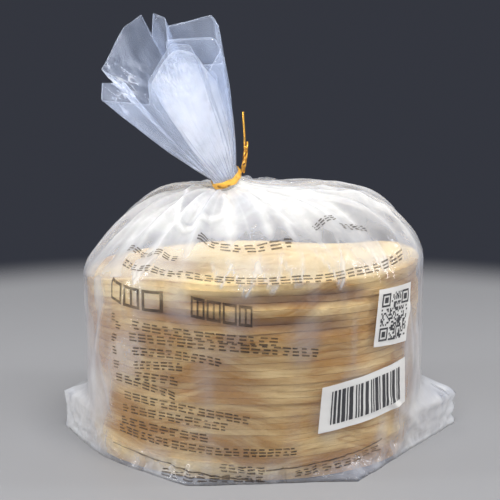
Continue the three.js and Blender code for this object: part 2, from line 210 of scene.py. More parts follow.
@dataclass(frozen=True)
class BagForm:
    """The bag's sizes and the formulas of its wall, tent and neck."""

    stack_radius: float = 76
    stack_height: float = 75.9
    ease: float = 2
    foot_spread: float = 1
    foot_height: float = 6
    slow_slack: float = 0.7
    quick_slack: float = 0.5
    corners: tuple[FootCorner, ...] = table(
        FootCorner,
        (3.75, ((0, 16.5), (15.5, 17.5), (24, 0))), (180, ((0, 10), (18, 11.5), (21, 0))),
        (-60, ((0, 8.5), (3, 4), (9, 0))), (-108.75, ((0, 5.5), (3, 2.5), (9, 0))),
        (63.75, ((0, 7), (3, 3), (9, 0))), (116.25, ((0, 7), (3, 3), (9, 0))),
    )
    curl_rise: float = 7.5
    curl_towards: float = -50
    curl_level: float = -0.5
    curl_full: float = 0.4
    curl_inside: float = 0.2
    shoulder_clear: float = 2.2
    shoulder_rise: float = 13
    shoulder_back: float = 0.3
    tent_height: float = 113
    tent_left: float = 2.9
    tent_right: float = 5.2
    tent_front: float = 1.5
    tent_length: float = 80
    throat: float = 9
    pleats: int = 18
    pleat_depth: float = 1.9
    gather_depth: float = 0.35
    neck_radius: float = 6.2
    neck_length: float = 6.4
    neck_centre: Vector = Vector((-12, 0, 118))
    lean_left: float = 27
    lean_forward: float = 22

    @property
    def axis(self) -> Vector:
        """Return the ruffle's axis."""
        left, forward = math.radians(self.lean_left), math.radians(self.lean_forward)
        return Vector((-math.tan(left), -math.tan(forward), 1)).normalized()

    @property
    def side(self) -> Vector:
        """Return the direction across the ruffle's axis towards the right."""
        axis = self.axis
        return (Vector((1, 0, 0)) - axis * axis.x).normalized()

    def ring(self, azimuth: float, radius: float, lift: float) -> Vector:
        """Return a point on a ring about the ruffle's axis, lifted from the middle of the tie.

        Args:
            azimuth: the turn about the axis, in radians.
            radius: the ring's radius.
            lift: the distance along the axis from the middle of the tie.

        Returns:
            The point.
        """
        back = self.axis.cross(self.side)
        across = self.side * math.cos(azimuth) + back * math.sin(azimuth)
        return self.neck_centre + self.axis * lift + across * radius

    def corner_bulge(self, azimuth: float, height: float) -> float:
        """Return how far the drawn-out corners push the wall out.

        Seen from above, the film runs straight from a corner until it touches the round wall.

        Args:
            azimuth: where on the wall, in radians.
            height: the height above the table.

        Returns:
            The distance beyond the round wall.
        """
        round_wall = self.stack_radius + self.ease
        furthest = round_wall
        for corner in self.corners:
            touch = math.acos(round_wall / (round_wall + corner.at(height)))
            away = abs(turn(math.radians(corner.azimuth), azimuth))
            furthest = max(furthest, round_wall / math.cos(max(0.0, touch - away)))
        return furthest - round_wall

    def wall_radius(self, azimuth: float, height: float) -> float:
        """Return the radius of the bag's wall without its small wrinkles."""
        foot = self.foot_spread * clamp01(1 - height / self.foot_height) ** 2
        slack = self.slow_slack * math.sin(3 * azimuth + 0.6 + height / 40)
        slack += self.quick_slack * math.sin(7 * azimuth + 1.9 - height / 25)
        return self.stack_radius + self.ease + foot + slack + self.corner_bulge(azimuth, height)

    def curl(self, azimuth: float, share: float) -> float:
        """Return how far the top layer bends up at a share of its radius."""
        side = math.cos(azimuth - math.radians(self.curl_towards))
        rise = smooth(self.curl_inside, 1.05, share) ** 1.3
        return self.curl_rise * rise * smooth(self.curl_level, self.curl_full, side)

    def shoulder(self, azimuth: float) -> float:
        """Return the height at which the wall turns in towards the neck."""
        right = (1 + math.cos(azimuth)) / 2
        back = (1 + math.sin(azimuth)) / 2
        lift = clamp01(right * right + self.shoulder_back * back * (1 - right))
        rim = self.stack_height + self.curl(azimuth, 1)
        return max(self.stack_height + self.shoulder_rise * lift, rim + self.shoulder_clear)

    def pleat(self, azimuth: float) -> float:
        """Return the pleat relief, from -1 in a fold to 1 on a ridge."""
        wander = azimuth + 0.13 * math.sin(3 * azimuth + 1) + 0.06 * math.sin(7 * azimuth + 2.1)
        wave = 0.5 + 0.5 * math.cos(self.pleats * wander)
        return 2 * wave**1.4 - 0.85

    def gather(self, azimuth: float) -> float:
        """Return the relief of the fine gathers at the neck."""
        return self.gather_depth * math.cos(2 * self.pleats * azimuth)

    def wall(self, azimuth: float, height: float) -> Vector:
        """Return a point on the wall without its small wrinkles."""
        radius = self.wall_radius(azimuth, height)
        return Vector((radius * math.cos(azimuth), radius * math.sin(azimuth), height))

    def tent(self, azimuth: float, along: float) -> Vector:
        """Return a point on the tent, 0 along at the wall and 1 at the neck."""
        low = self.shoulder(azimuth)
        start = self.wall(azimuth, low)
        end = self.ring(azimuth, self.neck_radius, -self.neck_length / 2)
        right = (1 + math.cos(azimuth)) / 2
        front = (1 - math.sin(azimuth)) / 2
        fullness = lerp(lerp(self.tent_left, self.tent_front, front**2), self.tent_right, right**2)
        rise = 1 - (1 - along) ** fullness
        point = start.lerp(end, along)
        relief = self.pleat_depth * math.sin(math.pi * along**0.8) * self.pleat(azimuth)
        point.z = lerp(low, self.tent_height, rise) + relief
        point.z += (end.z - self.tent_height) * along**self.throat
        return point


# --- Making meshes ------------------------------------------------------------------------------


def deselect_all() -> None:
    """Leave nothing selected."""
    bpy.ops.object.select_all(action="DESELECT")


def make_active(piece: bpy.types.Object) -> None:
    """Select one piece alone and make it the active one."""
    deselect_all()
    piece.select_set(True)
    bpy.context.view_layer.objects.active = piece


def edit(
    piece: bpy.types.Object,
    *steps: Callable[[], object],
    chosen: Callable[[bpy.types.MeshPolygon], bool] | None = None,
) -> None:
    """Run operators in edit mode.

    Args:
        piece: the piece to work on.
        steps: calls of operators, run in order.
        chosen: says of a face whether the operators work on it; without a rule they work on all.
    """
    make_active(piece)
    bpy.ops.object.mode_set(mode="EDIT")
    bpy.ops.mesh.select_all(action="SELECT")
    if chosen:
        bpy.ops.mesh.select_mode(type="FACE")
        bpy.ops.mesh.select_all(action="DESELECT")
        bpy.ops.object.mode_set(mode="OBJECT")
        for face in piece.data.polygons:
            face.select = chosen(face)
        bpy.ops.object.mode_set(mode="EDIT")
    for step in steps:
        step()
    bpy.ops.object.mode_set(mode="OBJECT")


def merge_seams(piece: bpy.types.Object) -> None:
    """Join the vertices that lie on each other at seams and poles."""
    edit(piece, lambda: bpy.ops.mesh.remove_doubles(threshold=1e-6))


def keep_cells(piece: bpy.types.Object, columns: int, keep: Callable[[int, int], bool]) -> None:
    """Delete the cells of a grid that a rule doesn't keep.

    Args:
        piece: the grid, whose faces lie in rows from its lower left corner.
        columns: how many cells lie side by side.
        keep: says by column and row whether a cell stays.
    """
    edit(
        piece,
        lambda: bpy.ops.mesh.delete(type="FACE"),
        chosen=lambda face: not keep(face.index % columns, face.index // columns),
    )


def paint(piece: bpy.types.Object, name: str, values: list[float]) -> None:
    """Store one number for each vertex under a name that materials read."""
    layer = piece.data.attributes.new(name=name, type="FLOAT", domain="POINT")
    layer.data.foreach_set("value", values)


def mapped_grid(
    name: str,
    columns: int,
    rows: int,
    place: Place,
    shades: dict[str, Shade] | None = None,
) -> bpy.types.Object:
    """Add a flat grid and carry its vertices to their places on a surface.

    Args:
        name: the piece's name.
        columns: how many cells lie side by side.
        rows: how many cells lie above each other.
        place: gives the place in millimetres for the shares across and up the grid.
        shades: values to store for each vertex, by name, from the same two shares.

    Returns:
        The piece, at the origin.
    """
    deselect_all()
    bpy.ops.mesh.primitive_grid_add(x_subdivisions=columns, y_subdivisions=rows, size=2)
    piece = bpy.context.object
    piece.name = piece.data.name = name
    shares = [((v.co.x + 1) / 2, (v.co.y + 1) / 2) for v in piece.data.vertices]
    for vertex, (across, up) in zip(piece.data.vertices, shares):
        vertex.co = place(across, up) * MM
    for label, shade in (shades or {}).items():
        paint(piece, label, [shade(across, up) for across, up in shares])
    return piece


def thicken(piece: bpy.types.Object, thickness: float) -> None:
    """Give an open sheet a real thickness, in millimetres, under its outer face."""
    make_active(piece)
    wall = piece.modifiers.new("wall", "SOLIDIFY")
    wall.thickness = thickness * MM
    wall.offset = -1
    wall.use_rim = True
    bpy.ops.object.modifier_apply(modifier=wall.name)


def smooth_faces(piece: bpy.types.Object, angle: float = 180) -> None:
    """Shade a piece smooth, with edges kept sharp past an angle in degrees."""
    make_active(piece)
    bpy.ops.object.shade_smooth_by_angle(angle=math.radians(angle))


def join(name: str, pieces: list[bpy.types.Object]) -> bpy.types.Object:
    """Join several pieces into one and return it."""
    deselect_all()
    for piece in pieces:
        piece.select_set(True)
    bpy.context.view_layer.objects.active = pieces[0]
    if len(pieces) > 1:
        bpy.ops.object.join()
    joined = bpy.context.view_layer.objects.active
    joined.name = joined.data.name = name
    return joined


def finish_piece(
    piece: bpy.types.Object,
    material: bpy.types.Material,
    node: Node,
) -> None:
    """Give a piece its material and body, and hide the imported solid that it stands for."""
    piece.data.materials.clear()
    piece.data.materials.append(material)
    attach(piece, BODY)
    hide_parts(node.value)
    log.info("%s: %d faces", piece.name, len(piece.data.polygons))


# --- Materials ----------------------------------------------------------------------------------


class Sketch:
    """A node tree with short calls that add and join its nodes."""

    def __init__(self, tree: bpy.types.NodeTree) -> None:
        """Keep the tree to add to."""
        self.tree = tree

    @classmethod
    def material(cls, name: str) -> tuple[bpy.types.Material, "Sketch", bpy.types.Node]:
        """Return an empty material, its sketch and its output node."""
        material = bpy.data.materials.new(name)
        material.use_nodes = True
        material.node_tree.nodes.clear()
        sketch = cls(material.node_tree)
        return material, sketch, sketch.add("ShaderNodeOutputMaterial")

    def add(self, kind: str, **settings: object) -> bpy.types.Node:
        """Add a node and set its properties by name, and its sockets by their labels.

        Args:
            kind: the node's type name.
            settings: properties of the node; a name that is no property is a socket's label,
                with underscores for spaces, and its setting is a value or another node's output.

        Returns:
            The node.
        """
        node = self.tree.nodes.new(kind)
        for key, value in settings.items():
            if hasattr(node, key):
                setattr(node, key, value)
            else:
                self.feed([node.inputs[key.replace("_", " ")]], [value])
        return node

    def feed(self, sockets: Iterable[bpy.types.NodeSocket], terms: Iterable[object]) -> None:
        """Give each input its value, or join another node's output to it."""
        for socket, term in zip(sockets, terms):
            if isinstance(term, bpy.types.NodeSocket):
                self.tree.links.new(term, socket)
            else:
                socket.default_value = term

    def over(self, kind: str, *terms: object, **settings: object) -> bpy.types.NodeSocket:
        """Add a node over values or outputs, in the order of its inputs, and return its output."""
        node = self.add(kind, **settings)
        self.feed(node.inputs, terms)
        return node.outputs[0]

    def math(self, operation: str, *terms: object, clamp: bool = False) -> bpy.types.NodeSocket:
        """Add a math node over numbers or outputs and return its output."""
        return self.over("ShaderNodeMath", *terms, operation=operation, use_clamp=clamp)

    def attribute(self, name: str) -> bpy.types.NodeSocket:
        """Return the output of a stored number."""
        node = self.add("ShaderNodeAttribute", attribute_type="GEOMETRY", attribute_name=name)
        return node.outputs["Fac"]

    def group(self, tree: bpy.types.NodeTree, **values: float) -> bpy.types.NodeSocket:
        """Add a node group with its own values and return its output."""
        return self.over("ShaderNodeGroup", node_tree=tree, **values)

    def bump(self, height: bpy.types.NodeSocket, strength: float, depth: float) -> bpy.types.NodeSocket:
        """Add a bump of a strength and a depth in metres and return its normal."""
        return self.over("ShaderNodeBump", Height=height, Strength=strength, Distance=depth)

    def mix_colour(self, share: object, first: object, second: object) -> bpy.types.NodeSocket:
        """Mix two colours by a share; each may be a value or an output."""
        node = self.add("ShaderNodeMix", data_type="RGBA")
        share_at, first_at, second_at, mixed_at = 0, 6, 7, 2
        sockets = [node.inputs[index] for index in (share_at, first_at, second_at)]
        self.feed(sockets, (share, first, second))
        return node.outputs[mixed_at]


def new_group(
    name: str,
    inputs: dict[str, float],
    output: str,
) -> tuple[bpy.types.NodeTree, Sketch, bpy.types.Node, bpy.types.Node]:
    """Start a node group with number inputs and one number output.

    Args:
        name: the group's name.
        inputs: each input's label and default value.
        output: the output's label.

    Returns:
        The group, its sketch, and its input and output nodes.
    """
    tree = bpy.data.node_groups.new(name, "ShaderNodeTree")
    for label, value in inputs.items():
        socket = tree.interface.new_socket(label, in_out="INPUT", socket_type="NodeSocketFloat")
        socket.default_value = value
    tree.interface.new_socket(output, in_out="OUTPUT", socket_type="NodeSocketFloat")
    sketch = Sketch(tree)
    return tree, sketch, sketch.add("NodeGroupInput"), sketch.add("NodeGroupOutput")


def mottle_group() -> bpy.types.NodeTree:
    """Return the group that puts out soft patches between 0 and 1.

    Stretch flattens them into level bands, and Wander lets the bands rise and fall, in metres.
    """
    defaults = {"Scale": 80.0, "Detail": 3.0, "Low": 0.4, "High": 0.6, "Stretch": 1.0, "Wander": 0.0}
    tree, sketch, start, end = new_group("mottle", defaults, "Mask")
    given = start.outputs
    place = sketch.add("ShaderNodeTexCoord").outputs["Object"]
    slow = sketch.add("ShaderNodeTexNoise", Vector=place, Scale=22.0, Detail=1.0)
    swing = sketch.math("SUBTRACT", slow.outputs["Fac"], 0.5)
    climb = sketch.over("ShaderNodeCombineXYZ", 0.0, 0.0, sketch.math("MULTIPLY", swing, given["Wander"]))
    moved = sketch.over("ShaderNodeVectorMath", place, climb, operation="ADD")
    squeeze = sketch.over("ShaderNodeCombineXYZ", 1.0, 1.0, given["Stretch"])
    scaled = sketch.over("ShaderNodeVectorMath", moved, squeeze, operation="MULTIPLY")
    grain = sketch.add("ShaderNodeTexNoise", Vector=scaled, Scale=given["Scale"], Detail=given["Detail"])
    limit = sketch.over(
        "ShaderNodeMapRange",
        interpolation_type="SMOOTHSTEP",
        Value=grain.outputs["Fac"],
        From_Min=given["Low"],
        From_Max=given["High"],
    )
    sketch.feed(end.inputs, [limit])
    return tree


@dataclass(frozen=True)
class FilmFinish:
    """Clear plastic film that turns milky where it is folded or seen edge on.

    The stored number "milk" says how much light the film scatters; in places it is also raised as
    painted highlight and sheen, on pleat tips, ridges, crinkles and the slanted flanks. What little
    the clear film scatters is bluish, and gathered film is white. The slant limit keeps the light's
    way through film seen edge on from growing without end.
    """

    name: str
    mottle: bpy.types.NodeTree
    thin: Colour = (0.52, 0.66, 1.0, 1)
    thick: Colour = (0.95, 0.95, 0.96, 1)
    through: Colour = (0.8, 0.88, 1.0, 1)
    whitening: float = 2.2
    patches: float = 0.3
    patch_scale: float = 90.0
    slant_limit: float = 1.08
    body_roughness: float = 0.45
    back_lit_share: float = 0.4
    gloss_roughness: float = 0.13
    straight_gloss: float = 0.035
    edge_gloss: float = 0.7
    edge_power: float = 5.0
    ripple: float = 0.25
    ripple_scale: float = 420.0
    ripple_depth: float = 0.0004

    def build(self) -> bpy.types.Material:
        """Return the film's material."""
        material, sketch, output = Sketch.material(self.name)
        patches = sketch.group(self.mottle, Scale=self.patch_scale, Detail=4.0, Low=0.35, High=0.7)
        spread = sketch.math("MULTIPLY_ADD", patches, self.patches, 1 - self.patches / 2)
        milk = sketch.math("MULTIPLY", sketch.attribute("milk"), spread, clamp=True)
        facing = sketch.add("ShaderNodeLayerWeight", Blend=0.5).outputs["Facing"]
        path = sketch.math("DIVIDE", 1.0, sketch.math("SUBTRACT", self.slant_limit, facing))
        clear = sketch.math("POWER", sketch.math("SUBTRACT", 1.0, milk), path)
        haze = sketch.math("SUBTRACT", 1.0, clear, clamp=True)

        fine = sketch.group(self.mottle, Scale=self.ripple_scale, Detail=2.0, Low=0.2, High=0.8)
        bump = sketch.bump(fine, self.ripple, self.ripple_depth)
        gathered = sketch.math("MULTIPLY", milk, self.whitening, clamp=True)
        tint = sketch.mix_colour(gathered, self.thin, self.thick)
        body = sketch.over(
            "ShaderNodeBsdfPrincipled", Base_Color=tint, Roughness=self.body_roughness, Normal=bump
        )
        back_lit = sketch.over("ShaderNodeBsdfTranslucent", self.through, bump)
        milky = sketch.over("ShaderNodeMixShader", self.back_lit_share, body, back_lit)
        film = sketch.over("ShaderNodeMixShader", haze, sketch.over("ShaderNodeBsdfTransparent"), milky)

        shine = sketch.over("ShaderNodeBsdfGlossy", Roughness=self.gloss_roughness, Normal=bump)
        grazing = sketch.math("POWER", facing, self.edge_power)
        mirror = sketch.math("MULTIPLY_ADD", grazing, self.edge_gloss, self.straight_gloss)
        sketch.feed(output.inputs, [sketch.over("ShaderNodeMixShader", mirror, film, shine)])
        return material


@dataclass(frozen=True)
class TortillaFinish:
    """Baked corn dough: pale yellow, uneven, with toasted spots and a fine grain, plus painted shadow and
    painted highlight from the stack's bands.
    """

    mottle: bpy.types.NodeTree
    pale: Colour = (0.98, 0.755, 0.385, 1)
    golden: Colour = (0.475, 0.243, 0.056, 1)
    toasted: Colour = (0.48, 0.22, 0.06, 1)
    painted_shadow: Colour = (0.28, 0.14, 0.07, 1)
    streak_share: float = 0.28
    cloud_share: float = 0.57
    mark_share: float = 0.5
    roughness: float = 0.78
    grain_depth: float = 0.0004

    def build(self) -> bpy.types.Material:
        """Return the tortillas' material."""
        material, sketch, output = Sketch.material("corn_tortilla")
        level = {"Low": 0.3, "High": 0.7, "Wander": 0.03}
        cloud = sketch.group(self.mottle, Scale=26.0, Detail=5.0, Stretch=5.0, **level)
        fine = sketch.group(self.mottle, Scale=50.0, Detail=4.0, Stretch=14.0, **level)
        # the stored tone holds random tone and also painted highlight: the pale bands and the paler top
        # layers
        streaks = sketch.math("MULTIPLY_ADD", fine, self.streak_share, sketch.attribute("tone"))
        blend = sketch.math("MULTIPLY_ADD", cloud, self.cloud_share, streaks)
        dough = sketch.mix_colour(sketch.math("MULTIPLY", blend, 1.0, clamp=True), self.pale, self.golden)
        spots = sketch.group(self.mottle, Scale=120.0, Detail=5.0, Low=0.66, High=0.76)
        streak = sketch.group(self.mottle, Scale=95.0, Detail=3.0, Low=0.6, High=0.72, Stretch=5.0)
        marks = sketch.math("MULTIPLY", sketch.math("MAXIMUM", spots, streak), self.mark_share)
        marked = sketch.mix_colour(marks, dough, self.toasted)
        # painted shadow: the stored shade darkens the dough towards a brown painted shadow colour in the
        # brown bands
        marked = sketch.mix_colour(sketch.attribute("shade"), marked, self.painted_shadow)
        grain = sketch.group(self.mottle, Scale=900.0, Detail=3.0, Low=0.2, High=0.8)
        bump = sketch.bump(grain, 0.5, self.grain_depth)
        body = sketch.over(
            "ShaderNodeBsdfPrincipled", Base_Color=marked, Roughness=self.roughness, Normal=bump
        )
        sketch.feed(output.inputs, [body])
        return material


@dataclass(frozen=True)
class PrintFinish:
    """A thin layer of print on the film, worn unevenly where wrinkles lift it."""

    name: str
    mottle: bpy.types.NodeTree
    colour: Colour
    cover: float
    worn: float
    roughness: float = 0.42
    faded_share: float = 0.35

    def build(self) -> bpy.types.Material:
        """Return the print's material."""
        material, sketch, output = Sketch.material(self.name)
        wear = sketch.group(self.mottle, Scale=160.0, Detail=3.0, Low=0.35, High=0.75)
        cover = sketch.math("MULTIPLY_ADD", wear, -self.worn, self.cover, clamp=True)
        faded = tuple(min(1.0, 1.25 * part + 0.02) for part in self.colour[:3]) + (1,)
        shade = sketch.mix_colour(sketch.math("MULTIPLY", wear, self.faded_share), self.colour, faded)
        body = sketch.over(
            "ShaderNodeBsdfPrincipled", Base_Color=shade, Roughness=self.roughness, Alpha=cover
        )
        sketch.feed(output.inputs, [body])
        return material


@dataclass(frozen=True)
class RibbonFinish:
    """The tie's golden film ribbon with darker, scuffed twists."""

    mottle: bpy.types.NodeTree
    bright: Colour = (0.83, 0.45, 0.06, 1)
    dark: Colour = (0.2, 0.07, 0.01, 1)
    scuffed_share: float = 0.75
    roughness: float = 0.3
    scuff_depth: float = 0.0002

    def build(self) -> bpy.types.Material:
        """Return the ribbon's material."""
        material, sketch, output = Sketch.material("golden_ribbon")
        scuff = sketch.group(self.mottle, Scale=420.0, Detail=4.0, Low=0.52, High=0.68)
        folds = sketch.math("MAXIMUM", scuff, sketch.attribute("fold"))
        dark = sketch.math("MULTIPLY", folds, self.scuffed_share)
        colour = sketch.mix_colour(dark, self.bright, self.dark)
        bump = sketch.bump(scuff, 0.4, self.scuff_depth)
        body = sketch.over(
            "ShaderNodeBsdfPrincipled", Base_Color=colour, Roughness=self.roughness, Normal=bump
        )
        sketch.feed(output.inputs, [body])
        return material


# --- The film -----------------------------------------------------------------------------------


@dataclass(frozen=True)
class Wave:
    """Soft relief in the wall: its depth, its lengths around and up the wall, and its seed."""

    relief: float
    around: float
    up: float
    seed: float


@dataclass(frozen=True)
class Swell:
    """Soft relief in the tent: its depth, how fine it is around and along, and its seed."""

    relief: float
    around: float
    along: float
    seed: float


@dataclass(frozen=True)
class WallMilk:
    """What each thing adds to the wall's milk.

    Loose is film off the stack, flank the sides that are seen at a slant, partly a painted sheen,
    foot the lowest part and tip the pointed ends of the pleats, a painted highlight.
    """

    base: float = 0.02
    loose: float = 0.05
    flank: float = 0.24
    patch: float = 0.15
    foot: float = 0.1
    ear: float = 0.22
    crease: float = 0.12
    streak: float = 0.05
    # tip: painted highlight on the pleats' pointed ends
    tip: float = 0.35


@dataclass(frozen=True)
class TentMilk:
    """What each thing adds to the tent's milk, or takes from it."""

    base: float = 0.05
    back: float = -0.03
    front: float = 0.23
    patch: float = 0.1
    flank: float = 0.1
    # ridge, back_ridge and streak whiten the pleats, partly real gathered film and partly painted
    # highlight
    ridge: float = 0.07
    back_ridge: float = 0.08
    streak: float = 0.09
    neck: float = 0.06
    fold: float = 0.6
    pocket: float = -0.12
    # pocket_rim: the folded lip's milk, partly a painted edge highlight
    pocket_rim: float = 0.34
    # tip: painted highlight on the pleats' pointed ends
    tip: float = 0.35


@dataclass
class FilmBody:
    """The bag from its base to the tie: base, wrinkled wall and pleated tent, as one sheet."""

    form: BagForm
    columns: int = 384
    base_rows: int = 5
    wall_rows: int = 46
    tent_rows: int = 52
    neck_rows: int = 3
    thickness: float = 0.16
    rounding: float = 5.0
    foot_relief: float = 1.5
    deepest: float = -1.1
    ridge_count: int = 26
    seed: int = 5
    wall_milk: WallMilk = WallMilk()
    tent_milk: TentMilk = TentMilk()
    waves: tuple[Wave, ...] = (Wave(0.5, 11, 55, 0), Wave(0.22, 4.4, 26, 3), Wave(0.16, 12, 3.4, 9))
    swells: tuple[Swell, ...] = (Swell(1.1, 4.2, 1.6, 2), Swell(0.55, 13, 2.4, 6))
    crumple_relief: float = 0.3
    pocket_relief: float = 1.5
    pocket_rim_relief: float = 0.9
    creases: tuple[Crease, ...] = table(
        Crease,
        ((-57, 70), (-57, 44), 0.5, 1.4), ((-134, 76), (-132, 64), 0.5, 1.4),
        ((-143, 74), (-152, 40), 0.8, 2.0), ((-150, 52), (-138, 14), 0.7, 1.8),
        ((-33, 74), (-24, 34), 0.8, 2.0), ((-26, 62), (-12, 20), 0.9, 2.4),
        ((-44, 30), (-18, 8), 0.8, 1.6), ((-118, 30), (-96, 12), 0.5, 1.5),
        ((150, 70), (140, 12), 0.8, 2.2), ((95, 74), (110, 30), 0.7, 2.0),
        ((50, 78), (62, 22), 0.8, 2.2), ((28, 80), (34, 20), 0.8, 2.2),
        ((2.2, 14.5), (-17.8, 15.2), 1.0, 1.0), ((180, 17.2), (-162.8, 18.8), 1.0, 1.0),
    )
    folds: tuple[Fold, ...] = table(
        Fold,
        ((-24, -4), (-73, -7), 0.7, 1.5, 0.12), ((-22, -9), (-51, -50), 0.8, 1.4, 0.16),
        ((-34, -27), (-71, -22), 0.7, 2.2, 0.12), ((28, -2), (54, -24), 1.0, 1.6, 0.22),
        ((54, -24), (73, -14), 0.9, 1.6, 0.25), ((33, -7), (72, -30), 0.7, 1.3, 0.2),
        ((20, -14), (47, -47), 0.8, 1.5, 0.22), ((45, -12), (66, 6), 0.7, 1.8, 0.15),
        ((-10, -24), (-9, -63), 0.8, 1.7, 0.3), ((-4, -16), (9, -67), 0.9, 1.3, 0.3),
        ((-2, -14), (32, -63), 0.7, 1.5, 0.28), ((-14, -20), (-28, -66), 0.8, 1.4, 0.22),
        ((2, -12), (19, -67), 0.6, 1.2, 0.3), ((-20, 20), (-48, 50), 0.8, 2.0, 0.12),
        ((4, 18), (30, 62), 0.8, 2.0, 0.12), ((-12, 26), (-16, 68), 0.7, 1.8, 0.1),
        ((16, 8), (66, 34), 0.8, 2.2, 0.12),
    )
    tips: tuple[PleatTip, ...] = table(
        PleatTip,
        (-99.5, 2.5, 13), (-92, 7.5, 21), (-84, 6, 18), (-76, 4, 15), (-62, 5, 18),
        (-128.5, 2.5, 13), (-43, 2, 12),
    )
    pocket: tuple[tuple[float, float], ...] = (
        (-27, 5), (-33, -28), (-32, -44), (-18, -45), (-12, -38), (-12, -16),
    )
    ridges: list[tuple[float, float, float]] = field(default_factory=list)

    def __post_init__(self) -> None:
        """Draw the tent's thin ridges: azimuth, width in radians and relief."""
        draw = random.Random(self.seed)
        for index in range(self.ridge_count):
            azimuth = TAU * (index + draw.uniform(-0.4, 0.4)) / self.ridge_count
            self.ridges.append((azimuth, draw.uniform(0.02, 0.05), draw.uniform(0.4, 1.1)))

    def crease_relief(self, azimuth: float, height: float) -> float:
        """Return how far the wall's fold lines stand out at a place."""
        radius = self.form.stack_radius
        total = 0.0
        for crease in self.creases:
            start = Vector((0, crease.start[1]))
            end = Vector((radius * math.radians(crease.end[0] - crease.start[0]), crease.end[1]))
            here = Vector((radius * turn(math.radians(crease.start[0]), azimuth), height))
            share, away = nearest(start, end, here)
            if away < 4 * crease.width:
                total += crease.relief * mid_share(share, 4, 0.15) * bell(away, crease.width)
        return total

    def ridge_relief(self, azimuth: float, along: float) -> float:
        """Return how far the tent's thin ridges stand out at a place."""
        total = 0.0
        for centre, width, relief in self.ridges:
            away = abs(turn(centre + 0.1 * math.sin(5 * along + centre * 9), azimuth))
            if away < 4 * width:
                total += relief * bell(away, width)
        return total * math.sin(math.pi * clamp01(along) ** 0.6)

    def fold_at(self, point: Vector) -> tuple[float, float]:
        """Return the relief and the milk that the tent's folds give a place."""
        relief = milk = 0.0
        here = Vector((point.x, point.y))
        for fold in self.folds:
            share, away = nearest(Vector(fold.start), Vector(fold.end), here)
            if away < 4 * fold.width:
                fade = mid_share(share, 5, 0.1)
                relief += fold.relief * fade * bell(away, fold.width)
                milk += fold.milk * fade * bell(away, 1.4 * fold.width)
        return relief, milk

    def pocket_at(self, point: Vector) -> tuple[float, float]:
        """Return how far a place lies in the pocket of film below the tie, and on its rim."""
        here = Vector((point.x, point.y))
        here.x += 1.2 * rumple(point.x / 7, point.y / 7, 0, 31)
        beyond = -math.inf
        away = math.inf
        for first, second in zip(self.pocket, self.pocket[1:] + self.pocket[:1]):
            start, end = Vector(first), Vector(second)
            away = min(away, nearest(start, end, here)[1])
            beyond = max(beyond, (end - start).normalized().cross(here - start) * -1)
        return smooth(0.5, -2.0, away if beyond > 0 else -away), bell(away, 0.9)

    def tip_at(self, azimuth: float, travel: float) -> float:
        """Return how strongly the pointed end of a pleat shows at a place."""
        total = 0.0
        for tip in self.tips:
            up = travel - (self.form.shoulder(azimuth) - tip.drop)
            if 0 < up < tip.length:
                away = abs(turn(math.radians(tip.azimuth), azimuth)) * self.form.stack_radius
                half = 0.42 * up
                shown = bell(away - half, 0.7) + 0.35 * smooth(0, 0.6, half - away)
                total += shown * (1 - up / tip.length) ** 0.7
        return clamp01(total)

    def wall(self, azimuth: float, height: float) -> Vector:
        """Return a point on the wall with its wrinkles."""
        form = self.form
        outward = Vector((math.cos(azimuth), math.sin(azimuth), 0))
        reach = form.stack_radius + form.ease
        x, y = reach * math.cos(azimuth), reach * math.sin(azimuth)
        relief = self.crease_relief(azimuth, height)
        for wave in self.waves:
            length = wave.around
            relief += wave.relief * rumple(x / length, y / length, height / wave.up, wave.seed)
        low = 1 - smooth(5, 17, height)
        tuck = crumple(x / 7, y / 7, height / 5, 4) + 0.5 * crumple(x / 3.2, y / 3.2, height / 3, 14)
        relief += self.foot_relief * low * clamp01(height / 2) * tuck
        ear = smooth(4, 11, form.corner_bulge(azimuth, height))
        relief += ear * (0.6 * crumple(x / 13, y / 6, height / 8, 24) - 0.6 * low * tuck)
        relief += 0.5 * self.tip_at(azimuth, height)
        return form.wall(azimuth, height) + outward * max(relief, self.deepest)

    def tent(self, azimuth: float, along: float) -> Vector:
        """Return a point on the tent with its ridges and wrinkles."""
        point = self.form.tent(azimuth, along)
        x, y = math.cos(azimuth), math.sin(azimuth)
        rise = math.sin(math.pi * clamp01(along) ** 0.7)
        relief = self.ridge_relief(azimuth, along)
        for swell in self.swells:
            relief += rise * swell.relief * swirl(azimuth, swell.around, swell.along * along, swell.seed)
        relief += rise * self.crumple_relief * crumple(9 * x, 9 * y, 9 * along, 8)
        relief += self.fold_at(point)[0] * smooth(0, 0.06, along)
        inside, rim = self.pocket_at(point)
        relief += self.pocket_relief * inside + self.pocket_rim_relief * rim
        steep = smooth(0, 0.3, along)
        outward = Vector((x, y, 0)) * (1 - steep) + Vector((0, 0, 1)) * (0.3 + 0.7 * steep)
        point += outward * relief
        gather = smooth(0.86, 1, along) * self.form.gather(azimuth)
        return point + Vector((x, y, 0)) * gather

    def surface(self, azimuth: float, travel: float) -> Vector:
        """Return a point a way up the film from the table, in millimetres along it."""
        shoulder = self.form.shoulder(azimuth)
        if travel <= shoulder:
            return self.wall(azimuth, travel)
        return self.tent(azimuth, min((travel - shoulder) / self.form.tent_length, 1))

    def rounded(self, azimuth: float, travel: float) -> Vector:
        """Return a point on the film with the turn at the shoulder rounded off."""
        reach = self.rounding * (1 - abs(travel - self.form.shoulder(azimuth)) / (2 * self.rounding))
        if reach <= 0.2:
            return self.surface(azimuth, travel)
        total = Vector()
        for step in ROUNDING_STEPS:
            total += self.surface(azimuth, travel + step * reach)
        return total / len(ROUNDING_STEPS)

    def outside(self, azimuth: float, travel: float, lift: float) -> Vector:
        """Return a point a small way off the film's outer face."""
        here = self.rounded(azimuth, travel)
        side = self.rounded(azimuth + 0.008, travel) - here
        up = self.rounded(azimuth, travel + 0.6) - here
        return here + side.cross(up).normalized() * lift

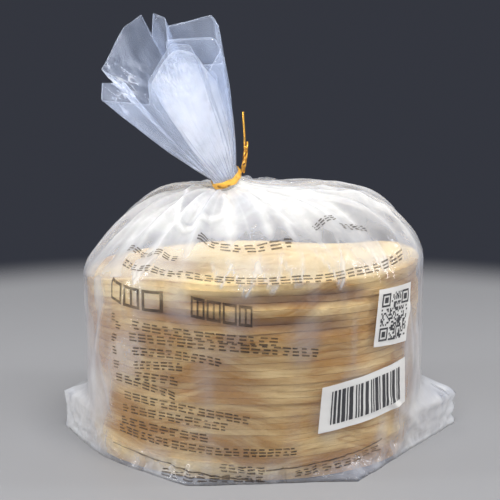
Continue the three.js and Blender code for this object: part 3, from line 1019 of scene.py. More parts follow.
    def inner_radius(self, azimuth: float, height: float) -> float:
        """Return how far the film is from the stack's axis at a height, on the wall or the tent."""
        travel = height
        point = self.rounded(azimuth, travel)
        while point.z < height and travel < height + 30:
            travel += 0.5
            point = self.rounded(azimuth, travel)
        return math.hypot(point.x, point.y)

    def travel_at(self, azimuth: float, share: float) -> float:
        """Return the way along the film at a share of the grid's height above its base rows."""
        shoulder = self.form.shoulder(azimuth)
        wall_share = self.wall_rows / (self.wall_rows + self.tent_rows)
        if share <= wall_share:
            return shoulder * (share / wall_share) ** 1.12
        return shoulder + self.form.tent_length * ((share - wall_share) / (1 - wall_share)) ** 0.95

    def milk_on_wall(self, azimuth: float, height: float) -> float:
        """Return how milky the wall is at a place."""
        form, adds = self.form, self.wall_milk
        x, y = math.cos(azimuth), math.sin(azimuth)
        slack = form.wall_radius(azimuth, max(height, form.foot_height)) - form.stack_radius
        loose = smooth(1.6, 3.6, slack)
        # partly painted sheen: the left and right sides, seen at a slant, are made milkier
        flank = smooth(0.74, 1.0, abs(x)) * (0.8 + 0.2 * smooth(0, -1, x))
        flank *= 1.5 - 0.5 * smooth(15, 45, height) - 0.6 * smooth(40, 76, height)
        patch = smooth(0.0, 0.6, swirl(azimuth, 5, height / 26, 12))
        foot = 1 - smooth(3, 14, height)
        ear = smooth(3, 10, form.corner_bulge(azimuth, height))
        mottled = crumple(13 * x, 13 * y, height / 7, 24)
        crease = clamp01(self.crease_relief(azimuth, height))
        streak = smooth(0.0, 0.7, swirl(azimuth, 15, height / 45, 18))
        milk = adds.base + adds.loose * loose + adds.flank * flank + adds.patch * patch
        milk += adds.foot * foot + adds.ear * ear * mottled + adds.crease * crease
        # adds.tip paints a highlight on the pleats' pointed ends
        return milk + adds.streak * streak + adds.tip * self.tip_at(azimuth, height)

    def milk_on_tent(self, azimuth: float, travel: float) -> float:
        """Return how milky the tent is at a place."""
        form, adds = self.form, self.tent_milk
        x, y = math.cos(azimuth), math.sin(azimuth)
        along = clamp01((travel - form.shoulder(azimuth)) / form.tent_length)
        point = form.tent(azimuth, along)
        inside, rim = self.pocket_at(point)
        front = smooth(0.2, -0.7, y) * smooth(0.05, 0.5, along)
        back = 1 - smooth(0.3, -0.4, y)
        flank = smooth(0.15, 0.7, abs(x)) * smooth(0.2, -0.5, y)
        patch = smooth(-0.3, 0.5, swirl(azimuth, 5, 3 * along, 15))
        # streak and ridge milk: partly painted highlight along the pleats
        streak = smooth(0.0, 0.6, swirl(azimuth, 24, 1.1 * along, 27)) * smooth(0.1, 0.6, along)
        ridge = clamp01(0.6 * self.ridge_relief(azimuth, along) + 0.2 * form.pleat(azimuth))
        milk = adds.base + adds.back * back + adds.front * front + adds.patch * patch
        milk += adds.flank * flank + (adds.ridge + adds.back_ridge * back) * ridge
        milk += adds.streak * streak + adds.neck * smooth(0.8, 1, along)
        # the pocket rim's milk is partly a painted edge highlight
        milk += adds.fold * self.fold_at(point)[1] + adds.pocket * inside + adds.pocket_rim * rim
        # adds.tip paints a highlight on the pleats' pointed ends
        return milk + adds.tip * self.tip_at(azimuth, travel)

    def milk(self, azimuth: float, travel: float) -> float:
        """Return how milky the film is at a place."""
        on_wall = travel <= self.form.shoulder(azimuth)
        return clamp01((self.milk_on_wall if on_wall else self.milk_on_tent)(azimuth, travel))

    def build(self, material: bpy.types.Material) -> bpy.types.Object:
        """Make the film body and dress it.

        Args:
            material: the film's material.

        Returns:
            The piece.
        """
        above = self.wall_rows + self.tent_rows
        all_rows = self.base_rows + above + self.neck_rows
        form = self.form

        def place(across: float, up: float) -> Vector:
            azimuth = TAU * across
            row = up * all_rows - self.base_rows
            if row < 0:
                foot = self.rounded(azimuth, 0) * clamp01(1 + row / self.base_rows)
                return Vector((foot.x, foot.y, 0))
            if row > above:
                lift = lerp(-form.neck_length / 2, 0, (row - above) / self.neck_rows)
                return form.ring(azimuth, form.neck_radius + form.gather(azimuth), lift)
            return self.rounded(azimuth, self.travel_at(azimuth, row / above))

        def milk(across: float, up: float) -> float:
            azimuth = TAU * across
            row = clamp01((up * all_rows - self.base_rows) / above)
            return self.milk(azimuth, self.travel_at(azimuth, row))

        piece = mapped_grid("film_bag", self.columns, all_rows, place, {"milk": milk})
        merge_seams(piece)
        thicken(piece, self.thickness)
        smooth_faces(piece)
        finish_piece(piece, material, Node.BAG)
        return piece


@dataclass(frozen=True)
class Corner:
    """A corner of a sheet's mouth, measured from the middle of the tie along the ruffle's own axes."""

    across: float
    back: float
    lift: float


@dataclass(frozen=True)
class Fan:
    """A sheet of film that leaves the neck gathered and opens into flat panels.

    The mouth runs straight from corner to corner, so that a panel lies between each two corners
    and a fold runs from the neck to each one. Milk is how milky the sheet is at the neck and at
    the mouth, rim what its edge adds, and hold is how far up it keeps the first value. Soft is how
    far the corners are rounded, and drift how much the gathers wind.
    """

    name: str
    corners: tuple[Corner, ...]
    inset: float
    rim: float
    columns: int
    rows: int
    seed: float
    milk: tuple[float, float] = (0.9, 0.22)
    hold: float = 0.5
    soft: float = 3.5
    drift: float = 0.6
    wrinkles: float = 0.5


OUTER_FAN = Fan(
    "film_ruffle",
    table(
        Corner,
        (28, 8, 65), (25, 16, 68), (3, 26, 68), (2, 14, 64), (4, 26, 72), (0, 27, 76), (-3, 16, 70),
        (-4, 23, 79), (-12, 17, 79), (-27, 4, 70), (-18, -3, 62), (-26, -9, 69), (-28, -15, 64),
        (-11, -14, 53), (-4, -22, 66), (13, -24, 78), (19, -21, 73), (17, -12, 54), (26, -3, 59),
    ),
    inset=0.0,
    rim=0.1,
    columns=440,
    rows=84,
    seed=21,
    milk=(0.2, 0.11),
    hold=0.0,
    soft=0.55,
    drift=0.25,
)

TALL_FAN = Fan(
    "inner_tall",
    table(
        Corner,
        (-7, -12, 60), (4, -16, 69), (12, -18, 73), (18, -17, 68), (18, -11, 56), (18, -3, 45),
        (17, 6, 47), (9, 9, 55), (-2, 6, 55), (-8, -2, 54),
    ),
    inset=1.2,
    rim=0.1,
    columns=200,
    rows=36,
    seed=41,
)

SHORT_FAN = Fan(
    "inner_short",
    table(
        Corner,
        (-5, -10, 53), (6, -12, 60), (13, -12, 57), (14, -8, 46), (13, 2, 39), (7, 6, 46),
        (-3, 2, 48),
    ),
    inset=2.4,
    rim=0.05,
    columns=160,
    rows=30,
    seed=47,
)

CLEAR_FAN = Fan(
    "inner_clear",
    table(Corner, (4, 5, 70), (25, 3, 63), (25, -2, 52), (16, -4, 56), (3, 0, 62)),
    inset=1.8,
    rim=0.15,
    columns=140,
    rows=30,
    seed=53,
    milk=(0.3, 0.06),
    hold=0.2,
    soft=2.0,
    drift=0.3,
    wrinkles=0.3,
)


@dataclass
class Ruffle:
    """The gathered film above the tie: one outer fan and the milky fans folded inside it.

    Each crinkled place is a corner and its reach. Each run of crinkles has a slope in radians, a
    seed and a strength.
    """

    form: BagForm
    outer: Fan = OUTER_FAN
    inner: tuple[Fan, ...] = (TALL_FAN, SHORT_FAN, CLEAR_FAN)
    thickness: float = 0.16
    neck_rows: int = 4
    bow: float = 1.6
    crinkle_places: tuple[tuple[Corner, float], ...] = (
        (Corner(-21, 1, 61), 11),
        (Corner(4, -13, 61), 8),
    )
    crinkle_runs: tuple[tuple[float, float, float], ...] = ((-0.55, 2, 1.0), (-1.05, 8, 0.75))
    crinkle_length: float = 10
    crinkle_width: float = 2.3
    crinkle_line: float = 0.17
    fine_relief: float = 0.3
    slow_relief: float = 0.9
    cloudiness: float = 0.35
    crest_milk_and_glint: float = 0.25
    crinkle_relief: float = 0.8
    crinkle_milk_and_glint: float = 0.45

    def place(self, corner: Corner) -> Vector:
        """Return a corner's place."""
        form = self.form
        right, up = form.side, form.axis
        back = up.cross(right)
        return form.neck_centre + right * corner.across + back * corner.back + up * corner.lift

    def mouth(self, fan: Fan) -> Callable[[float], tuple[Vector, float]]:
        """Return the rule for a fan's mouth: its place and neck azimuth at a share of the way round."""
        places = [self.place(corner) for corner in fan.corners]
        azimuths = [math.atan2(corner.back, corner.across) for corner in fan.corners]
        count = len(places)
        lengths = [(places[(i + 1) % count] - places[i]).length for i in range(count)]
        total = sum(lengths)

        def at(share: float) -> tuple[Vector, float]:
            travel = (share % 1.0) * total
            index = 0
            while travel > lengths[index] and index < count - 1:
                travel -= lengths[index]
                index += 1
            after = (index + 1) % count
            part = clamp01(travel / lengths[index])
            azimuth = azimuths[index] + part * turn(azimuths[index], azimuths[after])
            return places[index].lerp(places[after], part), azimuth

        def soft(share: float) -> tuple[Vector, float]:
            step = fan.soft / total
            near = [at(share + step * part)[0] for part in ROUNDING_STEPS]
            return sum(near, Vector()) / len(near), at(share)[1]

        return soft

    def crinkle(self, point: Vector) -> float:
        """Return how strongly the long fine crinkles of the left lobe and the core show at a place."""
        near = 0.0
        for corner, reach in self.crinkle_places:
            near = max(near, bell((point - self.place(corner)).length, reach))
        if near < 0.02:
            return 0.0
        line = 0.0
        for slope, seed, strength in self.crinkle_runs:
            run = math.cos(slope) * point.x + math.sin(slope) * point.z
            rise = math.cos(slope) * point.z - math.sin(slope) * point.x
            value = rumple(run / self.crinkle_length, rise / self.crinkle_width, point.y / 9, seed)
            line = max(line, strength * (1 - smooth(0, self.crinkle_line, abs(value))))
        return near * line

    def relief(self, fan: Fan, azimuth: float, along: float, point: Vector) -> float:
        """Return how far gathers, creases and crinkles stand out of a fan's panels."""
        wound = azimuth + fan.drift * swirl(azimuth, 2, 2.6 * along, fan.seed + 2)
        gathers = fan.wrinkles * swirl(wound, 9, 2.4 * along, fan.seed) * smooth(0, 0.15, along)
        fine = self.fine_relief * swirl(wound, 21, 5 * along, fan.seed + 4) * smooth(0, 0.2, along)
        slow = self.slow_relief * swirl(wound, 2.2, 2 * along, fan.seed + 9) * smooth(0.2, 1, along)
        crinkle = self.crinkle_relief * self.crinkle(point) * (1 - 0.75 * smooth(0.86, 1, along))
        return (gathers + fine) * (0.55 - 0.2 * along) + slow + crinkle

    def neck(self, fan: Fan, azimuth: float, lift: float) -> Vector:
        """Return a point of a fan in the neck, lifted from the middle of the tie."""
        gather = self.form.gather(azimuth) if fan.inset == 0 else 0.0
        return self.form.ring(azimuth, self.form.neck_radius - fan.inset + gather, lift)

    def surface(self, fan: Fan) -> Callable[[float, float], tuple[Vector, float]]:
        """Return the rule for a fan's surface: a place and its relief at two shares."""
        form = self.form
        mouth = self.mouth(fan)

        def at(share: float, along: float) -> tuple[Vector, float]:
            end, azimuth = mouth(share)
            point = self.neck(fan, azimuth, form.neck_length / 2).lerp(end, along)
            out = (form.ring(azimuth, 1, 0) - form.neck_centre).normalized()
            point += out * self.bow * math.sin(math.pi * along**0.8)
            relief = self.relief(fan, azimuth, along, point)
            return point + out * relief, relief

        return at

    def sheet(self, fan: Fan) -> bpy.types.Object:
        """Make one fan from inside the tie to its mouth.

        Args:
            fan: the fan to make.

        Returns:
            The sheet with its thickness.
        """
        at = self.surface(fan)
        mouth = self.mouth(fan)
        all_rows = fan.rows + self.neck_rows

        def place(across: float, up: float) -> Vector:
            row = up * all_rows - self.neck_rows
            if row >= 0:
                return at(across, row / fan.rows)[0]
            lift = lerp(0, self.form.neck_length / 2, 1 + row / self.neck_rows)
            return self.neck(fan, mouth(across)[1], lift)

        def milk(across: float, up: float) -> float:
            along = clamp01((up * all_rows - self.neck_rows) / fan.rows)
            point, relief = at(across, along)
            wisp = rumple(point.x / 5, point.y / 5, point.z / 5, fan.seed + 13)
            cloud = rumple(point.x / 14, point.y / 14, point.z / 14, fan.seed + 17)
            fade = smooth(fan.hold, 1.0, along + 0.25 * cloud)
            # crest and crinkle milk: partly creased film's whitening, partly painted glint along the
            # crinkles
            crest = self.crest_milk_and_glint * clamp01(relief - 0.35) if along > 0 else 0.0
            rim = fan.rim * smooth(0.98, 1, along)
            base = lerp(fan.milk[0], fan.milk[1], fade if fan.hold > 0 else along**0.35)
            uneven = 1 + self.cloudiness * (wisp + cloud)
            return clamp01(base * uneven + crest + self.crinkle_milk_and_glint * self.crinkle(point) + rim)

        piece = mapped_grid(fan.name, fan.columns, all_rows, place, {"milk": milk})
        merge_seams(piece)
        thicken(piece, self.thickness)
        return piece

    def build(self, outer_film: bpy.types.Material, inner_film: bpy.types.Material) -> None:
        """Make the outer fan and the inner ones, and dress them."""
        outer = self.sheet(self.outer)
        smooth_faces(outer)
        finish_piece(outer, outer_film, Node.BAG)
        core = join("film_core", [self.sheet(fan) for fan in self.inner])
        smooth_faces(core)
        finish_piece(core, inner_film, Node.BAG)


# --- The tortillas ------------------------------------------------------------------------------


@dataclass(frozen=True)
class Band:
    """A band along the stack's side from one (azimuth, height) to another.

    Its rims lie back by the depth, and its tone paints light and shade on the side: above 0 a
    brown painted shadow, below 0 a pale painted highlight.
    """

    start: tuple[float, float]
    end: tuple[float, float]
    width: float
    depth: float
    tone: float


@dataclass
class TortillaStack:
    """Thirty round tortillas lying on each other, uneven in size, place, thickness and tone, with painted
    shadow and highlight bands on the side and painted highlight on the top layers.
    """

    film: FilmBody
    count: int = 30
    base: float = 0.3
    overlap: float = 0.1
    radius: float = 75.9
    facets: int = 128
    rings: tuple[float, ...] = (0.012, 0.03, 0.07, 0.13, 0.2, 0.22)
    clearance: float = 0.7
    slow_wave: float = 1.5
    quick_wave: float = 0.55
    radius_spread: float = 0.14
    shift_spread: float = 0.2
    lobes: float = 0.9
    ragged: float = 0.3
    fine_ragged: float = 0.15
    firm_layers: int = 14
    highlight_layers: int = 4
    top_highlight_tone: float = -0.4
    tone_spread: tuple[float, float] = (-0.14, 0.1)
    side_tone: float = 0.34
    patch_tone: float = 0.5
    band_shade: float = 0.85
    band_wander: float = 1.3
    band_fade: float = 0.12
    # painted light and shade: brown bands are painted shadow under overhanging layers and in gaps, pale
    # bands painted highlight on lit rims; only the depths are real relief
    bands: tuple[Band, ...] = table(
        Band,
        ((-106, 76.5), (-58, 76.5), 2.3, 2.4, 1.6), ((-102, 72), (-58, 72.5), 1.8, 0.0, -0.35),
        ((-118, 69), (-66, 64), 2.8, 1.8, 1.05), ((-34, 76), (20, 77), 2.2, 1.4, 0.6),
        ((60, 66), (150, 70), 2.2, 1.6, 0.4), ((-152, 74), (-112, 74), 3.6, 0.0, -0.45),
        ((-132, 79), (-80, 81), 2.6, 0.0, -0.8), ((-150, 9), (-116, 6), 4.5, 0.0, -0.6),
        ((-104, 5), (-80, 4), 3.0, 0.0, -0.5), ((-72, 15), (-44, 17), 3.0, 0.0, -0.35),
        ((-134, 36), (-90, 40), 3.0, 0.6, 0.2), ((-60, 52), (-34, 50), 3.0, 0.6, 0.2),
    )
    seed: int = 11

    def blank(self) -> bpy.types.Object:
        """Make one flat tortilla of radius 1 and height 1, with rings of faces for its curl."""
        deselect_all()
        bpy.ops.mesh.primitive_cylinder_add(vertices=self.facets, radius=1, depth=1)
        piece = bpy.context.object

        def add_rings() -> None:
            for inset in self.rings:
                bpy.ops.mesh.inset(thickness=inset)
            bpy.ops.mesh.poke()

        edit(piece, add_rings, chosen=lambda face: abs(face.normal.z) > 0.9)
        return piece

    def rim_share(self, radius: float) -> float:
        """Return the share of the thickness that is left near the rim, so that the rim is round."""
        return 1 - 0.1 * smooth(0.985, 1.0, radius)

    def band_at(self, azimuth: float, height: float) -> tuple[float, float]:
        """Return how far the rims lie back at a place, and the painted shadow (above 0) or painted
        highlight (below 0) that the bands add there.
        """
        depth = tone = 0.0
        for band in self.bands:
            start, end = math.radians(band.start[0]), math.radians(band.end[0])
            share = clamp01(turn(start, azimuth) / turn(start, end))
            wander = self.band_wander * swirl(azimuth, 3, 0, 33 + band.width)
            level = lerp(band.start[1], band.end[1], share) + wander
            beyond = max(0.0, -turn(start, azimuth), turn(end, azimuth))
            near = bell(height - level, band.width) * bell(beyond, self.band_fade)
            depth += band.depth * near
            tone += band.tone * near
        return depth, tone

    def bearing(self, index: int, azimuth: float, reach: float) -> float:
        """Return the height of the face between two tortillas.

        Args:
            index: how many tortillas lie below the face.
            azimuth: where on the face, in radians.
            reach: the share of the radius.

        Returns:
            The height above the table.
        """
        share = index / self.count
        level = lerp(self.base, self.film.form.stack_height, share)
        wave = self.slow_wave * math.sin(math.pi * share) ** 0.7
        wave *= swirl(azimuth, 1.6 * reach, 0.11 * index, 2)
        wave += self.quick_wave * min(1.0, 6 * share) * swirl(azimuth, 4, 0.3 * index, 5) * reach
        loose = smooth(self.firm_layers, self.count, index)
        return level + wave + loose * self.film.form.curl(azimuth, reach)

    def shape(self, piece: bpy.types.Object, index: int, draw: random.Random) -> None:
        """Give a blank its own size, place, faces, ragged rim and tone, with the bands' painted shadow
        and highlight.

        Args:
            piece: a copy of the blank with its own mesh.
            index: its place in the stack, from 0 at the bottom.
            draw: the source of its random values.
        """
        top = self.count - 1
        off = self.shift_spread
        radius = self.radius + draw.uniform(-self.radius_spread, self.radius_spread)
        shift = Vector((draw.uniform(-off, off), draw.uniform(-off, off), 0))
        tone = draw.uniform(*self.tone_spread)
        # painted highlight: the top layers are made paler where the top light falls on the stack's rim
        tone += self.top_highlight_tone * smooth(top - self.highlight_layers, top, index)
        seed = draw.uniform(0, 50)
        tones, shades = [], []
        for vertex in piece.data.vertices:
            reach = math.hypot(vertex.co.x, vertex.co.y)
            azimuth = math.atan2(vertex.co.y, vertex.co.x)
            low = self.bearing(index, azimuth, reach)
            high = self.bearing(index + 1, azimuth, reach) + (self.overlap if index < top else 0)
            across = clamp01(0.5 + vertex.co.z * self.rim_share(reach))
            height = lerp(low, high, across)
            depth, band = self.band_at(azimuth, height)
            uneven = self.ragged * swirl(azimuth, 5, 0, seed)
            uneven += self.fine_ragged * swirl(azimuth, 17, 0, seed)
            uneven += self.lobes * swirl(azimuth, 3, 0.16 * index, 25)
            spread = (radius + uneven - depth) * reach
            place = shift + Vector((math.cos(azimuth) * spread, math.sin(azimuth) * spread, height))
            limit = self.film.inner_radius(math.atan2(place.y, place.x), place.z) - self.clearance
            away = math.hypot(place.x, place.y)
            if away > limit:
                place.x *= limit / away
                place.y *= limit / away
            vertex.co = place * MM
            side = smooth(0.93, 0.985, reach)
            # painted light and shade: pale bands lighten the tone as painted highlight, brown bands go
            # into shade as painted shadow
            local = tone + side * (self.side_tone + min(0.0, band))
            tones.append(local + self.patch_tone * swirl(azimuth, 2.4, 0.22 * index, 45))
            shades.append(self.band_shade * clamp01(band) * side)
        paint(piece, "shade", shades)
        paint(piece, "tone", tones)

    def build(self, material: bpy.types.Material) -> bpy.types.Object:
        """Make the stack as one piece and dress it."""
        draw = random.Random(self.seed)
        blank = self.blank()
        made = []
        for index in range(self.count):
            copy = blank.copy()
            copy.data = blank.data.copy()
            bpy.context.collection.objects.link(copy)
            self.shape(copy, index, draw)
            made.append(copy)
        bpy.data.objects.remove(blank)
        piece = join("tortilla_layers", made)
        smooth_faces(piece, 50)
        finish_piece(piece, material, Node.TORTILLAS)
        return piece


# --- The print ----------------------------------------------------------------------------------


@dataclass(frozen=True)
class PrintLine:
    """A line of plain marks along a curve through three places on the film.

    A place is an azimuth and, on the wall, a height above the table or, on the tent, a way up
    from the shoulder. Size is the marks' height, count how many there are.
    """

    zone: Zone
    start: tuple[float, float]
    middle: tuple[float, float]
    end: tuple[float, float]
    size: float
    count: int
    seed: int
    mark: Mark = Mark.BARS

    def cells(self, grid: int) -> list[list[bool]]:
        """Return by column and row which cells of the line are printed.

        Args:
            grid: how many cells a mark is wide and high; a free column follows each mark.

        Returns:
            The columns, each a list of its rows from the lowest.
        """
        draw = random.Random(self.seed)
        columns = []
        for _ in range(self.count):
            halved = draw.random() < 0.5
            bars = [range(0)] * grid
            for row in range(0, grid, 2):
                bars[row] = range(draw.choice((0, 0, 0, 1)), draw.choice((3, 4, 5, 5)))
            for column in range(grid):
                if self.mark is Mark.FRAMES:
                    post = column in (0, grid - 1) or (halved and column == grid // 2)
                    columns.append([post or row in (0, grid - 1) for row in range(grid)])
                else:
                    columns.append([column in bars[row] for row in range(grid)])
            columns.append([False] * grid)
        return columns

    def at(self, share: float) -> tuple[float, float]:
        """Return the azimuth and the height at a share of the line."""
        before = 2 * (share - 0.5) * (share - 1)
        centre = 4 * share * (1 - share)
        after = 2 * share * (share - 0.5)
        azimuth = before * self.start[0] + centre * self.middle[0] + after * self.end[0]
        height = before * self.start[1] + centre * self.middle[1] + after * self.end[1]
        return azimuth, height


def stub_line(azimuth: float, height: float, seed: int) -> PrintLine:
    """Return a line of one small mark on the wall from its left end."""
    places = [(azimuth + step, height) for step in (0, 1.5, 3)]
    return PrintLine(Zone.WALL, *places, size=3.3, count=1, seed=seed)


@dataclass
class Print:
    """The bag's print, kept to lines of plain bars and frames and a few rules."""

    film: FilmBody
    lift: float = 0.22
    bar_grid: int = 5
    frame_grid: int = 7
    lines: tuple[PrintLine, ...] = (
        PrintLine(Zone.TENT, (-110, 21), (-91, 16), (-73, 13), 4, 8, 1),
        PrintLine(Zone.TENT, (-140.5, 13.5), (-127, 12), (-115.5, 11), 2.8, 7, 2),
        PrintLine(Zone.TENT, (-137, 6), (-90, 0), (-32, 2), 2.8, 31, 3),
        PrintLine(Zone.TENT, (-62, 19.5), (-57, 20.5), (-46.5, 24.5), 2.8, 5, 4),
        PrintLine(Zone.TENT, (-49, 18.5), (-43.5, 16.5), (-39, 14.5), 3, 5, 5),
        PrintLine(Zone.WALL, (-139, 77.5), (-129.5, 75), (-117, 75), 9.0, 3, 6, Mark.FRAMES),
        PrintLine(Zone.WALL, (-109, 74), (-99, 72), (-89.5, 70.5), 8.7, 4, 7, Mark.FRAMES),
        PrintLine(Zone.WALL, (-129.5, 63.5), (-104.5, 62), (-82, 60), 3.5, 14, 8),
        PrintLine(Zone.WALL, (-131, 58), (-98.5, 58), (-69, 54), 3.5, 19, 9),
        PrintLine(Zone.WALL, (-130, 52), (-113, 53), (-99, 51), 3.4, 11, 10),
        PrintLine(Zone.WALL, (-129.5, 46), (-120.5, 47.5), (-111.5, 48), 3.4, 7, 11),
        PrintLine(Zone.WALL, (-129, 41.5), (-121, 42), (-113, 41.5), 3.4, 5, 12),
        PrintLine(Zone.WALL, (-137.5, 39), (-124.5, 38), (-114, 35), 3.3, 7, 13),
        PrintLine(Zone.WALL, (-134, 32), (-110, 30.5), (-90.5, 27), 3.3, 14, 14),
        PrintLine(Zone.WALL, (-135, 26), (-114, 26), (-97, 24), 3.3, 12, 15),
        PrintLine(Zone.WALL, (-136.5, 20.5), (-118, 20), (-103, 19), 3.3, 9, 16),
        PrintLine(Zone.WALL, (-137, 16.5), (-104, 14), (-76, 13), 3.3, 22, 17),
        PrintLine(Zone.WALL, (-100, 7), (-93, 6), (-86, 5.5), 3, 5, 18),
        PrintLine(Zone.WALL, (-77, 3.5), (-63, 5.5), (-45, 8.5), 2.4, 9, 19),
        PrintLine(Zone.WALL, (-118.5, 2.4), (-101, 2.4), (-86, 1.8), 2.4, 9, 20),
        stub_line(-139.5, 65, 21),
        stub_line(-137, 62, 22),
        stub_line(-139.5, 56, 23),
        stub_line(-139, 50.5, 24),
        stub_line(-138.5, 44.5, 25),
        PrintLine(Zone.WALL, (-140.5, 8.5), (-127, 7.2), (-117.5, 6), 0.55, 12, 26, Mark.RULE),
        PrintLine(Zone.WALL, (-117.5, 6), (-101, 3.3), (-86, 1), 0.55, 24, 27, Mark.RULE),
        PrintLine(Zone.WALL, (-86, 5.5), (-64, 7.8), (-44, 11.5), 0.55, 24, 28, Mark.RULE),
    )

    def travel(self, zone: Zone, azimuth: float, height: float) -> float:
        """Return the way along the film of a place given by its zone."""
        return height if zone is Zone.WALL else self.film.form.shoulder(azimuth) + height

    def line(self, line: PrintLine) -> bpy.types.Object:
        """Make one line: a strip of cells along it, with the free cells taken out."""
        rule = line.mark is Mark.RULE
        grid = self.frame_grid if line.mark is Mark.FRAMES else self.bar_grid
        columns = line.count if rule else (grid + 1) * line.count

        def place(across: float, up: float) -> Vector:
            azimuth, height = line.at(across)
            azimuth = math.radians(azimuth)
            travel = self.travel(line.zone, azimuth, height) + (up - 0.5) * line.size
            return self.film.outside(azimuth, travel, self.lift)

        piece = mapped_grid(f"line_{line.seed}", columns, 1 if rule else grid, place)
        if not rule:
            filled = line.cells(grid)
            keep_cells(piece, columns, lambda column, row: filled[column][row])
        return piece

    def build(self, ink: bpy.types.Material) -> bpy.types.Object:
        """Make the lines as one piece and dress it."""
        piece = join("print_lines", [self.line(line) for line in self.lines])
        finish_piece(piece, ink, Node.BAG)
        return piece


@dataclass
class CodePanels:
    """Two white panels, one with a field of squares and one with a row of bars."""

    film: FilmBody
    lift: float = 0.2
    ink_lift: float = 0.32
    square: tuple[tuple[float, float], ...] = ((-49, 53), (-32.5, 52), (-30, 77.5), (-47, 77.5))
    bars: tuple[tuple[float, float], ...] = ((-69.5, 19.5), (-31, 24), (-33, 45), (-68, 39))
    square_margin: tuple[float, float] = (0.1, 0.09)
    bar_margin: tuple[float, float] = (0.1, 0.14)
    square_grid: tuple[int, int] = (24, 24)
    bar_grid: tuple[int, int] = (48, 24)
    code_cells: int = 25
    code_eye: int = 7
    code_seed: int = 23
    bar_cells: int = 62
    bar_rows: int = 8
    bar_seed: int = 29

    def patch(
        self,
        name: str,
        corners: tuple[tuple[float, float], ...],
        grid: tuple[int, int],
        margin: tuple[float, float],
        lift: float,
    ) -> bpy.types.Object:
        """Make a four-sided patch on the film.

        Args:
            name: the patch's name.
            corners: its azimuths and heights, from the lower left corner to the upper left one.
            grid: how many cells lie side by side and above each other.
            margin: the shares of its width and height that stay free at each side.
            lift: how far it lies off the film.

        Returns:
            The patch.
        """
        lower_left, lower_right, upper_right, upper_left = (Vector(corner) for corner in corners)

        def place(across: float, up: float) -> Vector:
            across = lerp(margin[0], 1 - margin[0], across)
            up = lerp(margin[1], 1 - margin[1], up)
            spot = lower_left.lerp(lower_right, across).lerp(upper_left.lerp(upper_right, across), up)
            return self.film.outside(math.radians(spot.x), spot.y, lift)

        return mapped_grid(name, *grid, place)

    def squares(self) -> bpy.types.Object:
        """Make the field of squares: seeded cells round three nested squares."""
        count, eye = self.code_cells, self.code_eye
        draw = random.Random(self.code_seed)
        filled = [[draw.random() < 0.5 for _ in range(count)] for _ in range(count)]

        def keep(column: int, row: int) -> bool:
            for left, low in ((0, 0), (0, count - eye), (count - eye, count - eye)):
                x, y = column - left, row - low
                if -1 <= x <= eye and -1 <= y <= eye:
                    ring = max(abs(x - eye // 2), abs(y - eye // 2))
                    return ring in (0, 1, 3)
            return filled[row][column]

        grid = (count, count)
        piece = self.patch("squares", self.square, grid, self.square_margin, self.ink_lift)
        keep_cells(piece, count, keep)
        return piece

    def barred(self) -> bpy.types.Object:
        """Make the row of bars with seeded widths."""
        draw = random.Random(self.bar_seed)
        filled = []
        while len(filled) < self.bar_cells:
            filled += [True] * draw.choice((1, 1, 2, 3)) + [False] * draw.choice((1, 1, 2))
        grid = (self.bar_cells, self.bar_rows)
        piece = self.patch("bars", self.bars, grid, self.bar_margin, self.ink_lift)
        keep_cells(piece, self.bar_cells, lambda column, row: filled[column])
        return piece

    def build(self, white: bpy.types.Material, ink: bpy.types.Material) -> None:
        """Make both panels and their print, and dress them."""
        panels = [
            self.patch("square_panel", self.square, self.square_grid, (0, 0), self.lift),
            self.patch("bar_panel", self.bars, self.bar_grid, (0, 0), self.lift),
        ]
        finish_piece(join("white_panels", panels), white, Node.BAG)
        finish_piece(join("panel_print", [self.squares(), self.barred()]), ink, Node.BAG)


# --- The twist tie ------------------------------------------------------------------------------


